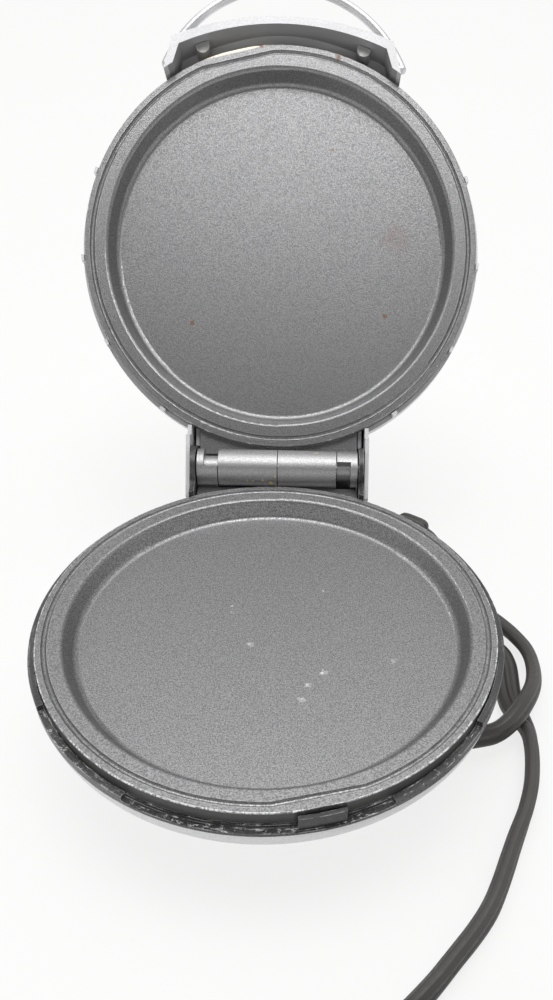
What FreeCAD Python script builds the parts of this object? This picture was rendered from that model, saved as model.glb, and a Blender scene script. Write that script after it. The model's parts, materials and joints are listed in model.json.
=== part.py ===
"""Round electric griddle with a clam-shell lid, standing open, with its cord and plug.

Millimetres, +Z up. The origin is on the table under the centre of the lower plate, +Y points
to the hinge at the back. The lid is modelled shut and then turned back to where it stands open.
"""
import FreeCAD, Part
import math
import os

V = FreeCAD.Vector

# Closing plane and hinge
CLOSING_HEIGHT = 40.0      # closing plane, with the hinge axis in it, above the table
LID_OPENING = 133.0        # degrees the open lid stands from shut
SEAT_GAP = 0.2             # between two pieces that rest on each other
MOVING_GAP = 0.4           # between two pieces that pass each other

# Cooking plates, two die castings
FLOOR_RADIUS = 50.8
DISH_DEPTH = 5.0
WALL_RUN = 2.4             # how far the sloped wall leans out
FLOOR_FILLET = 1.8
RIM_FILLET = 1.2
PLATE_WALL = 2.2
FLOOR_THICKNESS = 3.2
RIM_GAP = 1.4              # rim to closing plane
RIM_WIDTH = 6.9            # flat rim, from the wall's top to the lip
LIP_FILLET = 0.3
FLANGE_THICKNESS = 4.0
GROOVE_INSET = 2.4         # lip to the groove's middle
GROOVE_WIDTH = 1.5
GROOVE_DEPTH = 0.7
GATE_BEARING = -76.0       # where the casting was cut from its runner, degrees from +X
GATE_HALF_ANGLE = 11.0     # the groove runs straight across this much each side
GATE_TRIM = 0.35           # how deep the lip is filed flat there
BOSS_RADIUS = 4.5
BOSS_HEIGHT = 6.0

# Hinge knuckles, cast on the plates
KNUCKLE_RADIUS = 5.7
LIP_TO_KNUCKLE = 1.4
BARREL_HALF = 24.5         # half the length of the whole barrel
BIG_KNUCKLE_END = 18.0
KNUCKLE_GAP = 0.3
TONGUE_DROP = 2.2          # rim down to the tongue
TONGUE_THICKNESS = 3.0
TONGUE_BITE = 3.4          # how far the tongue reaches in under the plate's rim
HUB_RADIUS = 3.6           # left standing in the notch of the small knuckle
NOTCH_WIDTH = 4.2
LOWER_NOTCH_TURN = 49.0    # way the notch faces, degrees up from +Y
UPPER_NOTCH_TURN = 17.5
PIN_RADIUS = 2.0
PIN_FIT = 0.05

# Trim ring of the base
RING_RIM = 1.7             # thickness of the ring round the lip
RING_DROP = 3.2            # closing plane to the ring's top
RING_HEIGHT = 4.4
BORE_CLEARANCE = 0.8       # between the plate's body and the ring
RING_WALL = 2.0
LIP_CLEARANCE = 0.3
SPIGOT_DEPTH = 1.8
SPIGOT_WALL = 2.0
LEDGE_DROP = 6.6           # closing plane to the low ledge in front
LEDGE_HALF_ANGLE = 30.2
STEP_DROP = 5.0            # closing plane to the step beside the ledge
STEP_LEFT_ANGLE = 62.5     # front to the step's end, each side
STEP_RIGHT_ANGLE = 59.2
BLOCK_WIDTH = 11.0
BLOCK_DROP = 2.7
BLOCK_SIDE_GAP = 1.1
BLOCK_GAP_FLOOR = 0.8      # left of the ring under the gap
BLOCK_SET_BACK = 0.6       # ring's side to the block's front
EAR_RADIUS = 6.8
EAR_THICKNESS = 1.5

# Base shell
RING_OVERHANG = 0.3        # ring proud of the shell below it
SHELL_WALL = 2.2
SHOULDER_FILLET = 10.0
UNDERSIDE_INSET = 30.3     # shell's side to its flat bottom
UNDERSIDE_HEIGHT = 5.0     # shell's flat bottom above the table
UNDERSIDE_FILLET = 10.0
SHOULDER_DROP = 13.4       # closing plane to where the side meets the slope below it
PEDESTAL_HALF_WIDTH = 24.0
PEDESTAL_OVERRUN = 8.8     # hinge axis to the pedestal's back
PEDESTAL_DROP = 17.2       # closing plane to the pedestal's top
PEDESTAL_CORNER = 9.0
PEDESTAL_FILLET = 3.0
TOWER_RADIUS = 4.5
TOWER_INSET = 26.8         # cooking floor's edge to the towers
TOWER_COUNT = 3

# Screws and feet
SCREW_RADIUS = 1.75
SCREW_HOLE = 1.95
SCREW_HEAD_RADIUS = 3.4
SCREW_HEAD_HEIGHT = 2.4
SCREW_SINK = 3.0           # depth of the pocket round the head
SCREW_HOLD = 5.0           # length of screw in the boss
FOOT_RADIUS = 6.5
FOOT_STEM_RADIUS = 2.6
FOOT_STEM_HOLE = 2.8
FOOT_STEM_LENGTH = 4.0
FRONT_FOOT_X = 20.0
FRONT_FOOT_Y = -20.0
REAR_FOOT_X = 15.0
REAR_FOOT_INSET = 1.2      # hinge axis to the rear feet

# Lid shell
TAB_THICKNESS = 0.9        # plate tabs, flush with the lid's side
LID_WALL = 2.2
LID_HEIGHT = 28.0          # closing plane to the middle of the lid's top
LID_CROWN = 2.0            # how much the top rises to its middle
LID_FILLET = 17.0
TAB_WIDTH = 1.8
TAB_DROP = 2.0             # closing plane to the tabs' ends
TAB_FIRST = 36.4           # first tab, degrees round from the back
TAB_STEP = 25.0
TAB_COUNT = 4
SHROUD_WALL = 1.2
SHROUD_DISC = 10.0         # round ends of the shroud's sides, about the hinge axis
SHROUD_EDGE = 4.0          # hinge axis to the straight edge across those ends
SHROUD_ROOT = 20.0         # hinge axis to its start inside the lid
SHROUD_BEND = 8.0          # hinge axis to the bend in its top
SHROUD_BACK = 9.8          # hinge axis to the back of the shroud
SHROUD_TOP = 12.0          # hinge axis to the shroud's top at its back
SHROUD_RISE = 6.0          # how much its top climbs to the lid
SHROUD_SKIRT = 5.0         # hinge axis to the lower edge of its back
SHROUD_FRONT = 13.0        # hinge axis to the front of its sides
CHEEK_THICKNESS = 1.1      # ribs beside the hinge tongue

# Handle on the lid
HANDLE_REACH = 4.6         # lid's side to the middle of the handle's front
HANDLE_SWEEP = 6.4         # how far its corners lie behind the middle
HANDLE_CORNER_X = 33.2
HANDLE_ROOT_X = 35.6
HANDLE_ROOT_DEPTH = 15.9   # front to where it ends inside the lid's side
HANDLE_SKIRT = 2.4         # closing plane down to the skirt's edge
HANDLE_NOSE = 4.0          # closing plane up to the top of the front edge
HANDLE_BROW_DEPTH = 3.9    # front to the bend in its top
HANDLE_BROW = 7.5
HANDLE_CREST = 11.5
HANDLE_WALL = 2.1
STUD_RADIUS = 2.1
STUD_X = 24.4
STUD_CLEARANCE = 0.35      # lid's side to the studs
STUD_END = 1.0             # closing plane to the studs' ends

# Wire bail
BAIL_WIRE = 1.3            # radius
BAIL_FIT = 0.1
BAIL_PIVOT_X = 36.8
BAIL_PIVOT_DEPTH = 7.7     # handle's front to the pivot
BAIL_PIVOT_RISE = 10.0     # closing plane to the pivot
BAIL_REACH = 23.8
BAIL_END = 4.0             # length of the ends that sit in the handle
BAIL_BOSS_RADIUS = 2.4
BAIL_BOSS_X = 33.4         # outer ends of the bosses

# Heating
ELEMENT_INSET = 14.8       # cooking floor's edge to the element
ELEMENT_RADIUS = 3.2
ELEMENT_ARC = 300.0
TERMINAL_RADIUS = 1.6
TERMINAL_LENGTH = 9.0
REFLECTOR_INSET = 4.8      # cooking floor's edge to the pan
REFLECTOR_DEPTH = 8.5
REFLECTOR_SHEET = 0.8
REFLECTOR_WINDOW = 10.5
HOLE_CLEARANCE = 0.6
THERMOSTAT_RADIUS = 8.0
THERMOSTAT_HEIGHT = 6.5
THERMOSTAT_COLLAR = 1.4
THERMOSTAT_COLLAR_RADIUS = 9.5
FUSE_RADIUS = 2.2
FUSE_LENGTH = 14.0
FUSE_CLIP = 0.7
TERMINAL_BLOCK_LENGTH = 20.0
TERMINAL_BLOCK_WIDTH = 12.0
TERMINAL_BLOCK_HEIGHT = 9.0
TERMINAL_BLOCK_INSET = 17.2   # hinge axis to the terminal block
TERMINAL_BLOCK_WELL = 2.4

# Cord entry
CORD_DIAMETER = 5.4
CORD_WIDTH = 7.6
CORD_THICKNESS = 3.8
ENTRY_BEARING = 58.0       # degrees from +X
ENTRY_INSET = 4.8          # shell's side to the relief's collar
ENTRY_DROP = 16.6          # closing plane to the relief's middle at the shell
ENTRY_SLOPE = 17.0         # degrees down
RELIEF_LENGTH = 20.6
RELIEF_WIDTH = 11.0
RELIEF_THICKNESS = 7.6
RELIEF_INSIDE = 6.4        # stem inside the shell, to its collar
RELIEF_COLLAR = 0.7        # proud of the stem
RELIEF_COLLAR_LENGTH = 1.6
CORD_SLACK = 0.6           # cord end inside the relief's mouth

# Cord route, points chosen along the photographed line, from the relief to the coil
CORD_ROUTE = [
    (49.0, 78.4, 12.6), (60.3, 69.7, 2.7), (67.0, 54.4, 2.7), (72.6, 39.4, 2.7),
    (78.4, 26.2, 3.2), (79.8, 11.4, 5.4), (74.8, -3.4, 9.4), (64.8, -14.5, 10.0),
    (49.8, -15.7, 8.2), (37.6, -5.3, 4.6), (34.1, 14.7, 2.9), (40.2, 28.0, 2.7),
    (53.8, 33.3, 2.7), (67.2, 27.0, 2.7), (72.2, 13.0, 2.7), (72.8, -2.4, 2.7),
    (73.8, -17.0, 2.7), (70.2, -32.6, 2.7), (63.8, -47.4, 2.7), (57.0, -61.8, 2.7),
    (48.4, -75.2, 2.7), (38.6, -85.7, 3.0), (28.4, -95.9, 3.4),
]
ARC_SHARE = 0.45           # of the shorter run, taken up by each bend

# Put-away coil
COIL_CENTRE_X = 43.2
COIL_CENTRE_Y = -133.5
COIL_OUTER = 37.0          # radius of the first turn
COIL_PITCH = 6.2           # between turns, and between layers
COIL_TURNS = 1.5           # in each of two layers
COIL_START = 135.0         # degrees from +X
COIL_HEIGHT = 3.8          # middle of the lower layer
TIE_BEARING = 20.0
TIE_WIDTH = 7.0
TIE_THICKNESS = 0.8
TIE_CLEARANCE = 0.3

# Plug
PLUG_LENGTH = 26.0
LEAD_RUN = 15.0            # each straight run of the lead between coil and plug
LEAD_TURN = 38.0           # degrees the lead turns away from the coil
LEAD_DROP = 0.8            # fall of each run
PLUG_NECK = 9.0
PLUG_WIDTH = 22.0
PLUG_NECK_WIDTH = 10.0
PLUG_NECK_HEIGHT = 8.0
PLUG_FILLET = 2.5
BLADE_SPACING = 12.7
BLADE_WIDTH = 6.3
BLADE_THICKNESS = 1.5
BLADE_LENGTH = 16.0
BLADE_ROOT = 3.0

# Sizes worked out from those above
LIP_RADIUS = FLOOR_RADIUS + WALL_RUN + RIM_WIDTH
GROOVE_RADIUS = LIP_RADIUS - GROOVE_INSET
HINGE_REACH = LIP_RADIUS + LIP_TO_KNUCKLE + KNUCKLE_RADIUS
RIM_HEIGHT = CLOSING_HEIGHT - RIM_GAP
FLANGE_FOOT = RIM_HEIGHT - FLANGE_THICKNESS
PLATE_UNDERSIDE = RIM_HEIGHT - DISH_DEPTH - FLOOR_THICKNESS
PLATE_BODY_RADIUS = FLOOR_RADIUS + WALL_RUN + PLATE_WALL
TONGUE_ROOT = PLATE_BODY_RADIUS - TONGUE_BITE
TONGUE_TOP = RIM_HEIGHT - TONGUE_DROP
TONGUE_FOOT = TONGUE_TOP - TONGUE_THICKNESS
RING_TOP = CLOSING_HEIGHT - RING_DROP
RING_FOOT = RING_TOP - RING_HEIGHT
RING_INNER = LIP_RADIUS + LIP_CLEARANCE
RING_RADIUS = RING_INNER + RING_RIM
RING_BORE = PLATE_BODY_RADIUS + BORE_CLEARANCE
SHELL_RADIUS = RING_RADIUS - RING_OVERHANG
UNDERSIDE_RADIUS = SHELL_RADIUS - UNDERSIDE_INSET
SHOULDER_HEIGHT = CLOSING_HEIGHT - SHOULDER_DROP
PEDESTAL_REACH = HINGE_REACH + PEDESTAL_OVERRUN
TOWER_CIRCLE = FLOOR_RADIUS - TOWER_INSET
REAR_FOOT_Y = HINGE_REACH - REAR_FOOT_INSET
ELEMENT_CIRCLE = FLOOR_RADIUS - ELEMENT_INSET
REFLECTOR_RADIUS = FLOOR_RADIUS - REFLECTOR_INSET
TERMINAL_BLOCK_Y = HINGE_REACH - TERMINAL_BLOCK_INSET
ENTRY_RADIUS = SHELL_RADIUS - ENTRY_INSET
ENTRY_HEIGHT = CLOSING_HEIGHT - ENTRY_DROP
LID_RADIUS = LIP_RADIUS + LIP_CLEARANCE + TAB_THICKNESS
SHROUD_HALF_WIDTH = BARREL_HALF + MOVING_GAP + EAR_THICKNESS + MOVING_GAP + SHROUD_WALL
HANDLE_FRONT = -(LID_RADIUS + HANDLE_REACH)
HANDLE_CORNER_Y = HANDLE_FRONT + HANDLE_SWEEP
HANDLE_ROOT_Y = HANDLE_FRONT + HANDLE_ROOT_DEPTH
HANDLE_BROW_Y = HANDLE_FRONT + HANDLE_BROW_DEPTH
STUD_Y = -math.sqrt((LID_RADIUS + STUD_CLEARANCE + STUD_RADIUS) ** 2 - STUD_X ** 2)
BAIL_PIVOT_Y = HANDLE_FRONT + BAIL_PIVOT_DEPTH
SHELL_TOP = RING_FOOT - SEAT_GAP
LID_RIM = 2 * CLOSING_HEIGHT - FLANGE_FOOT + SEAT_GAP
AXIS_POINT = V(0, HINGE_REACH, CLOSING_HEIGHT)
BIG = 200.0                # reach of cutting blocks, beyond every piece


def rounded_edges(corners, place):
    """Closed run of lines and tangent arcs through (a, b) or (a, b, radius) corners."""
    count = len(corners)
    flat = [V(c[0], c[1], 0) for c in corners]
    spans = []
    for i, corner in enumerate(corners):
        radius = corner[2] if len(corner) > 2 else 0
        here = flat[i]
        back = (flat[i - 1] - here).normalize()
        ahead = (flat[(i + 1) % count] - here).normalize()
        if radius == 0:
            spans.append((here, None, here))
            continue
        half = back.getAngle(ahead) / 2
        trim = radius / math.tan(half)
        middle = (back + ahead).normalize()
        centre = here + middle * (radius / math.sin(half))
        spans.append((here + back * trim, centre - middle * radius, here + ahead * trim))
    edges = []
    for i, (start, crest, end) in enumerate(spans):
        if crest is not None:
            edges.append(Part.Arc(place(start), place(crest), place(end)).toShape())
        following = spans[(i + 1) % count][0]
        if (following - end).Length > 1e-6:
            edges.append(Part.LineSegment(place(end), place(following)).toShape())
    return edges


def face_of(corners, place):
    return Part.Face(Part.Wire(rounded_edges(corners, place)))


def turned(corners):
    """Solid of revolution about Z from (radius, height) corners."""
    face = face_of(corners, lambda p: V(p.x, 0, p.y))
    return face.revolve(V(0, 0, 0), V(0, 0, 1), 360)


def raised(corners, z0, z1):
    """Plan outline of (x, y) corners, raised from z0 to z1."""
    return face_of(corners, lambda p: V(p.x, p.y, z0)).extrude(V(0, 0, z1 - z0))


def across(corners, x0, x1):
    """Side outline of (y, z) corners, run across from x0 to x1."""
    return face_of(corners, lambda p: V(x0, p.x, p.y)).extrude(V(x1 - x0, 0, 0))


def block(x0, x1, y0, y1, z0, z1):
    return Part.makeBox(x1 - x0, y1 - y0, z1 - z0, V(x0, y0, z0))


def upright(x, y, radius, z0, z1):
    return Part.makeCylinder(radius, z1 - z0, V(x, y, z0))


def barrel(radius, x0, x1, y=HINGE_REACH, z=CLOSING_HEIGHT):
    """Cylinder along X, on the hinge axis unless told otherwise."""
    return Part.makeCylinder(radius, x1 - x0, V(x0, y, z), V(1, 0, 0))


def front_sector(left_angle, right_angle, inner, z0):
    """Everything above z0 and outside the inner radius, to each side of the front."""
    sector = Part.makeCylinder(BIG, BIG, V(0, 0, z0), V(0, 0, 1), left_angle + right_angle)
    sector.rotate(V(0, 0, 0), V(0, 0, 1), -90 - left_angle)
    return sector.cut(upright(0, 0, inner, z0 - 1, z0 + BIG))


def beyond(bearing, distance):
    """Block of everything further than distance from the Z axis along a bearing."""
    wall = block(distance, BIG, -BIG, BIG, -BIG, BIG)
    wall.rotate(V(0, 0, 0), V(0, 0, 1), bearing)
    return wall


def turned_about_hinge(shape):
    """Put a lid piece that was made shut where it stands open."""
    opened = shape.copy()
    opened.rotate(AXIS_POINT, V(1, 0, 0), -LID_OPENING)
    return opened


def turned_over(shape):
    """Turn a base piece over into the lid, about the closing plane."""
    flipped = shape.copy()
    flipped.rotate(V(0, 0, CLOSING_HEIGHT), V(0, 1, 0), 180)
    return flipped


def whole(shape):
    """The shape's one solid, with its split faces joined."""
    cleaned = shape.removeSplitter()
    if len(cleaned.Solids) != 1:
        raise ValueError("a piece came out as %d solids" % len(cleaned.Solids))
    return cleaned.Solids[0]


def tower_places():
    """Screw towers, one in front and two behind."""
    places = []
    for i in range(TOWER_COUNT):
        bearing = math.radians(-90 + i * 360 / TOWER_COUNT)
        places.append((TOWER_CIRCLE * math.cos(bearing), TOWER_CIRCLE * math.sin(bearing)))
    return places


def groove():
    """Cutters of a round-bottomed ring groove that runs straight across the gate."""
    half = GROOVE_WIDTH / 2
    section = (half ** 2 + GROOVE_DEPTH ** 2) / (2 * GROOVE_DEPTH)
    height = RIM_HEIGHT - GROOVE_DEPTH + section
    straight = GROOVE_RADIUS * math.cos(math.radians(GATE_HALF_ANGLE))
    reach = GROOVE_RADIUS * math.sin(math.radians(GATE_HALF_ANGLE))
    gate = Part.makeCylinder(BIG, BIG, V(0, 0, 0), V(0, 0, 1), 2 * GATE_HALF_ANGLE)
    gate.rotate(V(0, 0, 0), V(0, 0, 1), -GATE_HALF_ANGLE)
    ring = Part.makeTorus(GROOVE_RADIUS, section, V(0, 0, height)).cut(gate)
    run = Part.makeCylinder(section, 2 * reach, V(straight, -reach, height), V(0, 1, 0))
    bends = [Part.makeSphere(section, V(straight, y, height)) for y in (-reach, reach)]
    cutters = [ring, run] + bends
    for cutter in cutters:
        cutter.rotate(V(0, 0, 0), V(0, 0, 1), GATE_BEARING)
    return cutters


def casting(notch_turn):
    """Cooking plate with its rim, tongue and half of the hinge knuckles, face up."""
    dish_floor = RIM_HEIGHT - DISH_DEPTH
    plate = turned([
        (0, dish_floor), (FLOOR_RADIUS, dish_floor, FLOOR_FILLET),
        (FLOOR_RADIUS + WALL_RUN, RIM_HEIGHT, RIM_FILLET), (LIP_RADIUS, RIM_HEIGHT, LIP_FILLET),
        (LIP_RADIUS, FLANGE_FOOT), (PLATE_BODY_RADIUS, FLANGE_FOOT),
        (PLATE_BODY_RADIUS, PLATE_UNDERSIDE), (0, PLATE_UNDERSIDE),
    ])
    plate = plate.cut(beyond(GATE_BEARING, LIP_RADIUS - GATE_TRIM))
    for cutter in groove():
        plate = plate.cut(cutter)
    tongue = block(-BARREL_HALF, BARREL_HALF, TONGUE_ROOT, HINGE_REACH, TONGUE_FOOT, TONGUE_TOP)
    dish_space = upright(0, 0, PLATE_BODY_RADIUS, TONGUE_FOOT - 1, TONGUE_TOP + 1)
    body = plate.fuse(tongue.cut(dish_space))
    small_start = BIG_KNUCKLE_END + KNUCKLE_GAP
    clear_radius = KNUCKLE_RADIUS + MOVING_GAP
    body = body.cut(barrel(clear_radius, -small_start, KNUCKLE_GAP / 2))
    body = body.cut(barrel(clear_radius, BIG_KNUCKLE_END, BARREL_HALF + 1))
    big = barrel(KNUCKLE_RADIUS, KNUCKLE_GAP / 2, BIG_KNUCKLE_END)
    small = barrel(KNUCKLE_RADIUS, -BARREL_HALF, -small_start)
    body = body.fuse([big, small])
    notch = barrel(KNUCKLE_RADIUS + 1, -small_start - NOTCH_WIDTH, -small_start + 1)
    notch = notch.cut(barrel(HUB_RADIUS, -BARREL_HALF, 0))
    half = block(-BIG, BIG, HINGE_REACH, HINGE_REACH + BIG, -BIG, BIG)
    half.rotate(AXIS_POINT, V(1, 0, 0), notch_turn)
    body = body.cut(notch.common(half))
    return body.cut(barrel(PIN_RADIUS + PIN_FIT, -BIG, BIG))


def lower_plate():
    plate = casting(LOWER_NOTCH_TURN)
    for x, y in tower_places():
        foot = PLATE_UNDERSIDE - BOSS_HEIGHT
        boss = upright(x, y, BOSS_RADIUS, foot, PLATE_UNDERSIDE + 1)
        plate = plate.fuse(boss).cut(upright(x, y, SCREW_HOLE, foot - 1, PLATE_UNDERSIDE))
    return whole(plate)


def upper_plate():
    return whole(turned_over(casting(UPPER_NOTCH_TURN)))


def hinge_pin():
    half = BARREL_HALF + MOVING_GAP + EAR_THICKNESS
    pin = barrel(PIN_RADIUS, -half, half)
    return pin.makeChamfer(PIN_RADIUS / 4, [e for e in pin.Edges if e.Curve.TypeId == "Part::GeomCircle"])


def ring_block():
    """Block that stands up in a gap of the front ledge."""
    middle = RING_INNER * math.cos(math.radians(GATE_BEARING))
    reach = BLOCK_WIDTH / 2
    top = CLOSING_HEIGHT - BLOCK_DROP
    outer = upright(0, 0, RING_RADIUS - BLOCK_SET_BACK, RING_FOOT, top)
    column = outer.cut(upright(0, 0, RING_INNER, RING_FOOT - 1, top + 1))
    post = column.common(block(middle - reach, middle + reach, -BIG, 0, 0, BIG))
    gap_reach = reach + BLOCK_SIDE_GAP
    gap = block(middle - gap_reach, middle + gap_reach, -BIG, 0, RING_FOOT + BLOCK_GAP_FLOOR, BIG)
    return post, gap.cut(upright(0, 0, RING_INNER, 0, BIG))


def base_ring():
    seat = FLANGE_FOOT - SEAT_GAP
    spigot_outer = SHELL_RADIUS - SHELL_WALL - SEAT_GAP
    spigot_inner = spigot_outer - SPIGOT_WALL
    ring = turned([
        (RING_BORE, seat), (RING_INNER, seat), (RING_INNER, RING_TOP), (RING_RADIUS, RING_TOP, 0.6),
        (RING_RADIUS, RING_FOOT), (spigot_outer, RING_FOOT), (spigot_outer, RING_FOOT - SPIGOT_DEPTH),
        (spigot_inner, RING_FOOT - SPIGOT_DEPTH), (spigot_inner, seat - RING_WALL),
        (RING_BORE, seat - RING_WALL),
    ])
    ring = ring.cut(front_sector(STEP_LEFT_ANGLE, STEP_RIGHT_ANGLE, RING_INNER, CLOSING_HEIGHT - STEP_DROP))
    ring = ring.cut(front_sector(LEDGE_HALF_ANGLE, LEDGE_HALF_ANGLE, RING_INNER, CLOSING_HEIGHT - LEDGE_DROP))
    post, gap = ring_block()
    ring = ring.cut(gap).fuse(post)
    opening = BARREL_HALF + MOVING_GAP
    ring = ring.cut(block(-opening, opening, 0, BIG, TONGUE_FOOT - MOVING_GAP, BIG))
    ear_root = math.sqrt(RING_BORE ** 2 - opening ** 2)
    for x in (-opening - EAR_THICKNESS, opening):
        disc = barrel(EAR_RADIUS, x, x + EAR_THICKNESS)
        web = block(x, x + EAR_THICKNESS, ear_root, HINGE_REACH, RING_FOOT, CLOSING_HEIGHT)
        ring = ring.fuse([disc, web.cut(upright(0, 0, RING_INNER, seat, BIG))])
    ring = ring.cut(barrel(PIN_RADIUS + PIN_FIT, -BIG, BIG))
    return whole(ring)


def bowl(inset):
    """Bowl under the ring, drawn in all round by the inset, up to the shell's top."""
    floor = UNDERSIDE_HEIGHT + inset
    side = SHELL_RADIUS - inset
    bottom = UNDERSIDE_RADIUS - inset / 2
    return turned([
        (0, floor), (bottom, floor, UNDERSIDE_FILLET - inset),
        (side, SHOULDER_HEIGHT + inset / 2, SHOULDER_FILLET - inset), (side, SHELL_TOP), (0, SHELL_TOP),
    ])


def pedestal(inset):
    """Box behind the bowl that stands under the hinge."""
    half = PEDESTAL_HALF_WIDTH - inset
    back = PEDESTAL_REACH - inset
    corner = PEDESTAL_CORNER - inset
    floor = UNDERSIDE_HEIGHT + inset
    top = CLOSING_HEIGHT - PEDESTAL_DROP - inset
    box = raised([(-half, 0), (half, 0), (half, back, corner), (-half, back, corner)], floor, top)
    rounds = [e for e in box.Edges if e.BoundBox.ZMin > top - 1e-3 and e.BoundBox.YMax > 1]
    return box.makeFillet(PEDESTAL_FILLET - inset, rounds)


def entry_frame(shape):
    """Carry a shape made along +X to where the cord leaves the base."""
    placed = shape.copy()
    placed.rotate(V(0, 0, 0), V(0, 1, 0), ENTRY_SLOPE)
    placed.translate(V(ENTRY_RADIUS, 0, ENTRY_HEIGHT))
    placed.rotate(V(0, 0, 0), V(0, 0, 1), ENTRY_BEARING)
    return placed


def entry_point(distance):
    """Point on the cord entry's middle line, and the way that line runs."""
    slope = math.radians(ENTRY_SLOPE)
    bearing = math.radians(ENTRY_BEARING)
    way = V(math.cos(slope) * math.cos(bearing), math.cos(slope) * math.sin(bearing), -math.sin(slope))
    start = V(ENTRY_RADIUS * math.cos(bearing), ENTRY_RADIUS * math.sin(bearing), ENTRY_HEIGHT)
    return start + way * distance, way


def oblong(x, width, thickness):
    """Oblong section in the YZ plane at x, with rounded corners."""
    w, t = width / 2, thickness / 2
    corners = [(-w, -t, t * 0.6), (w, -t, t * 0.6), (w, t, t * 0.6), (-w, t, t * 0.6)]
    return Part.Wire(rounded_edges(corners, lambda p: V(x, p.x, p.y)))


def oblong_bar(x0, x1, start, end):
    """Tapered bar between two oblong sections, each (width, thickness)."""
    return Part.makeLoft([oblong(x0, *start), oblong(x1, *end)], True, True)


def foot_places():
    return [(-FRONT_FOOT_X, FRONT_FOOT_Y), (FRONT_FOOT_X, FRONT_FOOT_Y)], \
        [(-REAR_FOOT_X, REAR_FOOT_Y), (REAR_FOOT_X, REAR_FOOT_Y)]


def base_shell():
    outer = bowl(0).fuse(pedestal(0))
    inner = bowl(SHELL_WALL).fuse(pedestal(SHELL_WALL))
    mouth = upright(0, 0, SHELL_RADIUS - SHELL_WALL, SHELL_TOP - 1, SHELL_TOP + 1)
    shell = outer.cut(inner).cut(mouth)
    tower_top = PLATE_UNDERSIDE - BOSS_HEIGHT - SEAT_GAP
    for x, y in tower_places():
        shell = shell.fuse(upright(x, y, TOWER_RADIUS, UNDERSIDE_HEIGHT, tower_top))
    for x, y in tower_places():
        pocket = upright(x, y, SCREW_HEAD_RADIUS + SEAT_GAP, 0, UNDERSIDE_HEIGHT + SCREW_SINK)
        shell = shell.cut(pocket).cut(upright(x, y, SCREW_HOLE, 0, tower_top + 1))
    front, rear = foot_places()
    for x, y in front + rear:
        shell = shell.cut(upright(x, y, FOOT_STEM_HOLE, 0, UNDERSIDE_HEIGHT + SHELL_WALL + 1))
    width = RELIEF_WIDTH + 2 * SEAT_GAP
    thickness = RELIEF_THICKNESS + 2 * SEAT_GAP
    window = oblong_bar(-RELIEF_INSIDE, RELIEF_LENGTH, (width, thickness), (width, thickness))
    opening = BARREL_HALF + MOVING_GAP
    shell = shell.cut(entry_frame(window))
    shell = shell.cut(block(-opening, opening, 0, BIG, TONGUE_FOOT - MOVING_GAP, BIG))
    return whole(shell)


def base_screws():
    head_top = UNDERSIDE_HEIGHT + SCREW_SINK
    screws = []
    for x, y in tower_places():
        end = PLATE_UNDERSIDE - BOSS_HEIGHT + SCREW_HOLD
        shank = upright(x, y, SCREW_RADIUS, head_top - 1, end)
        head = upright(x, y, SCREW_HEAD_RADIUS, head_top - SCREW_HEAD_HEIGHT, head_top)
        screws.append(whole(shank.fuse(head)))
    return Part.makeCompound(screws)


def feet(places):
    pads = []
    for x, y in places:
        pad_top = UNDERSIDE_HEIGHT - SEAT_GAP
        pad = upright(x, y, FOOT_RADIUS, 0, pad_top)
        edge = [e for e in pad.Edges if e.BoundBox.ZMax < 1e-3]
        stem = upright(x, y, FOOT_STEM_RADIUS, pad_top - 1, UNDERSIDE_HEIGHT + FOOT_STEM_LENGTH)
        pads.append(whole(pad.makeFillet(1.0, edge).fuse(stem)))
    return Part.makeCompound(pads)


def heating_element():
    """Sheathed ring under the lower plate, open at the back, with its two terminals."""
    height = PLATE_UNDERSIDE - SEAT_GAP - ELEMENT_RADIUS
    gap = (360 - ELEMENT_ARC) / 2
    ring = Part.makeTorus(ELEMENT_CIRCLE, ELEMENT_RADIUS, V(0, 0, height), V(0, 0, 1), -180, 180, ELEMENT_ARC)
    ring.rotate(V(0, 0, 0), V(0, 0, 1), 90 + gap)
    for side in (1, -1):
        bearing = math.radians(90 + side * gap)
        x = ELEMENT_CIRCLE * math.cos(bearing)
        y = ELEMENT_CIRCLE * math.sin(bearing)
        knob = Part.makeSphere(ELEMENT_RADIUS, V(x, y, height))
        terminal = upright(x, y, TERMINAL_RADIUS, height - TERMINAL_LENGTH, height)
        ring = ring.fuse([knob, terminal])
    return whole(ring)


def reflector():
    """Pressed pan round the element, rim up against the plate, with its holes."""
    rim = PLATE_UNDERSIDE - SEAT_GAP
    floor = rim - REFLECTOR_DEPTH
    sheet = REFLECTOR_SHEET
    pan = turned([
        (0, floor), (REFLECTOR_RADIUS, floor, 3.0), (REFLECTOR_RADIUS, rim),
        (REFLECTOR_RADIUS - sheet, rim), (REFLECTOR_RADIUS - sheet, floor + sheet, 3.0 - sheet),
        (0, floor + sheet),
    ])
    pan = pan.cut(upright(0, 0, REFLECTOR_WINDOW, floor - 1, rim))
    for x, y in tower_places():
        pan = pan.cut(upright(x, y, TOWER_RADIUS + HOLE_CLEARANCE, floor - 1, rim))
    gap = (360 - ELEMENT_ARC) / 2
    for side in (1, -1):
        bearing = math.radians(90 + side * gap)
        x = ELEMENT_CIRCLE * math.cos(bearing)
        y = ELEMENT_CIRCLE * math.sin(bearing)
        pan = pan.cut(upright(x, y, TERMINAL_RADIUS + HOLE_CLEARANCE, floor - 1, rim))
    return whole(pan)


def thermostat():
    top = PLATE_UNDERSIDE - SEAT_GAP
    collar = upright(0, 0, THERMOSTAT_COLLAR_RADIUS, top - THERMOSTAT_COLLAR, top)
    body = upright(0, 0, THERMOSTAT_RADIUS, top - THERMOSTAT_HEIGHT, top)
    blades = [block(x - 2, x + 2, -0.4, 0.4, top - THERMOSTAT_HEIGHT - 6, top - 1) for x in (-4.5, 4.5)]
    return whole(collar.fuse([body] + blades))


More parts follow.
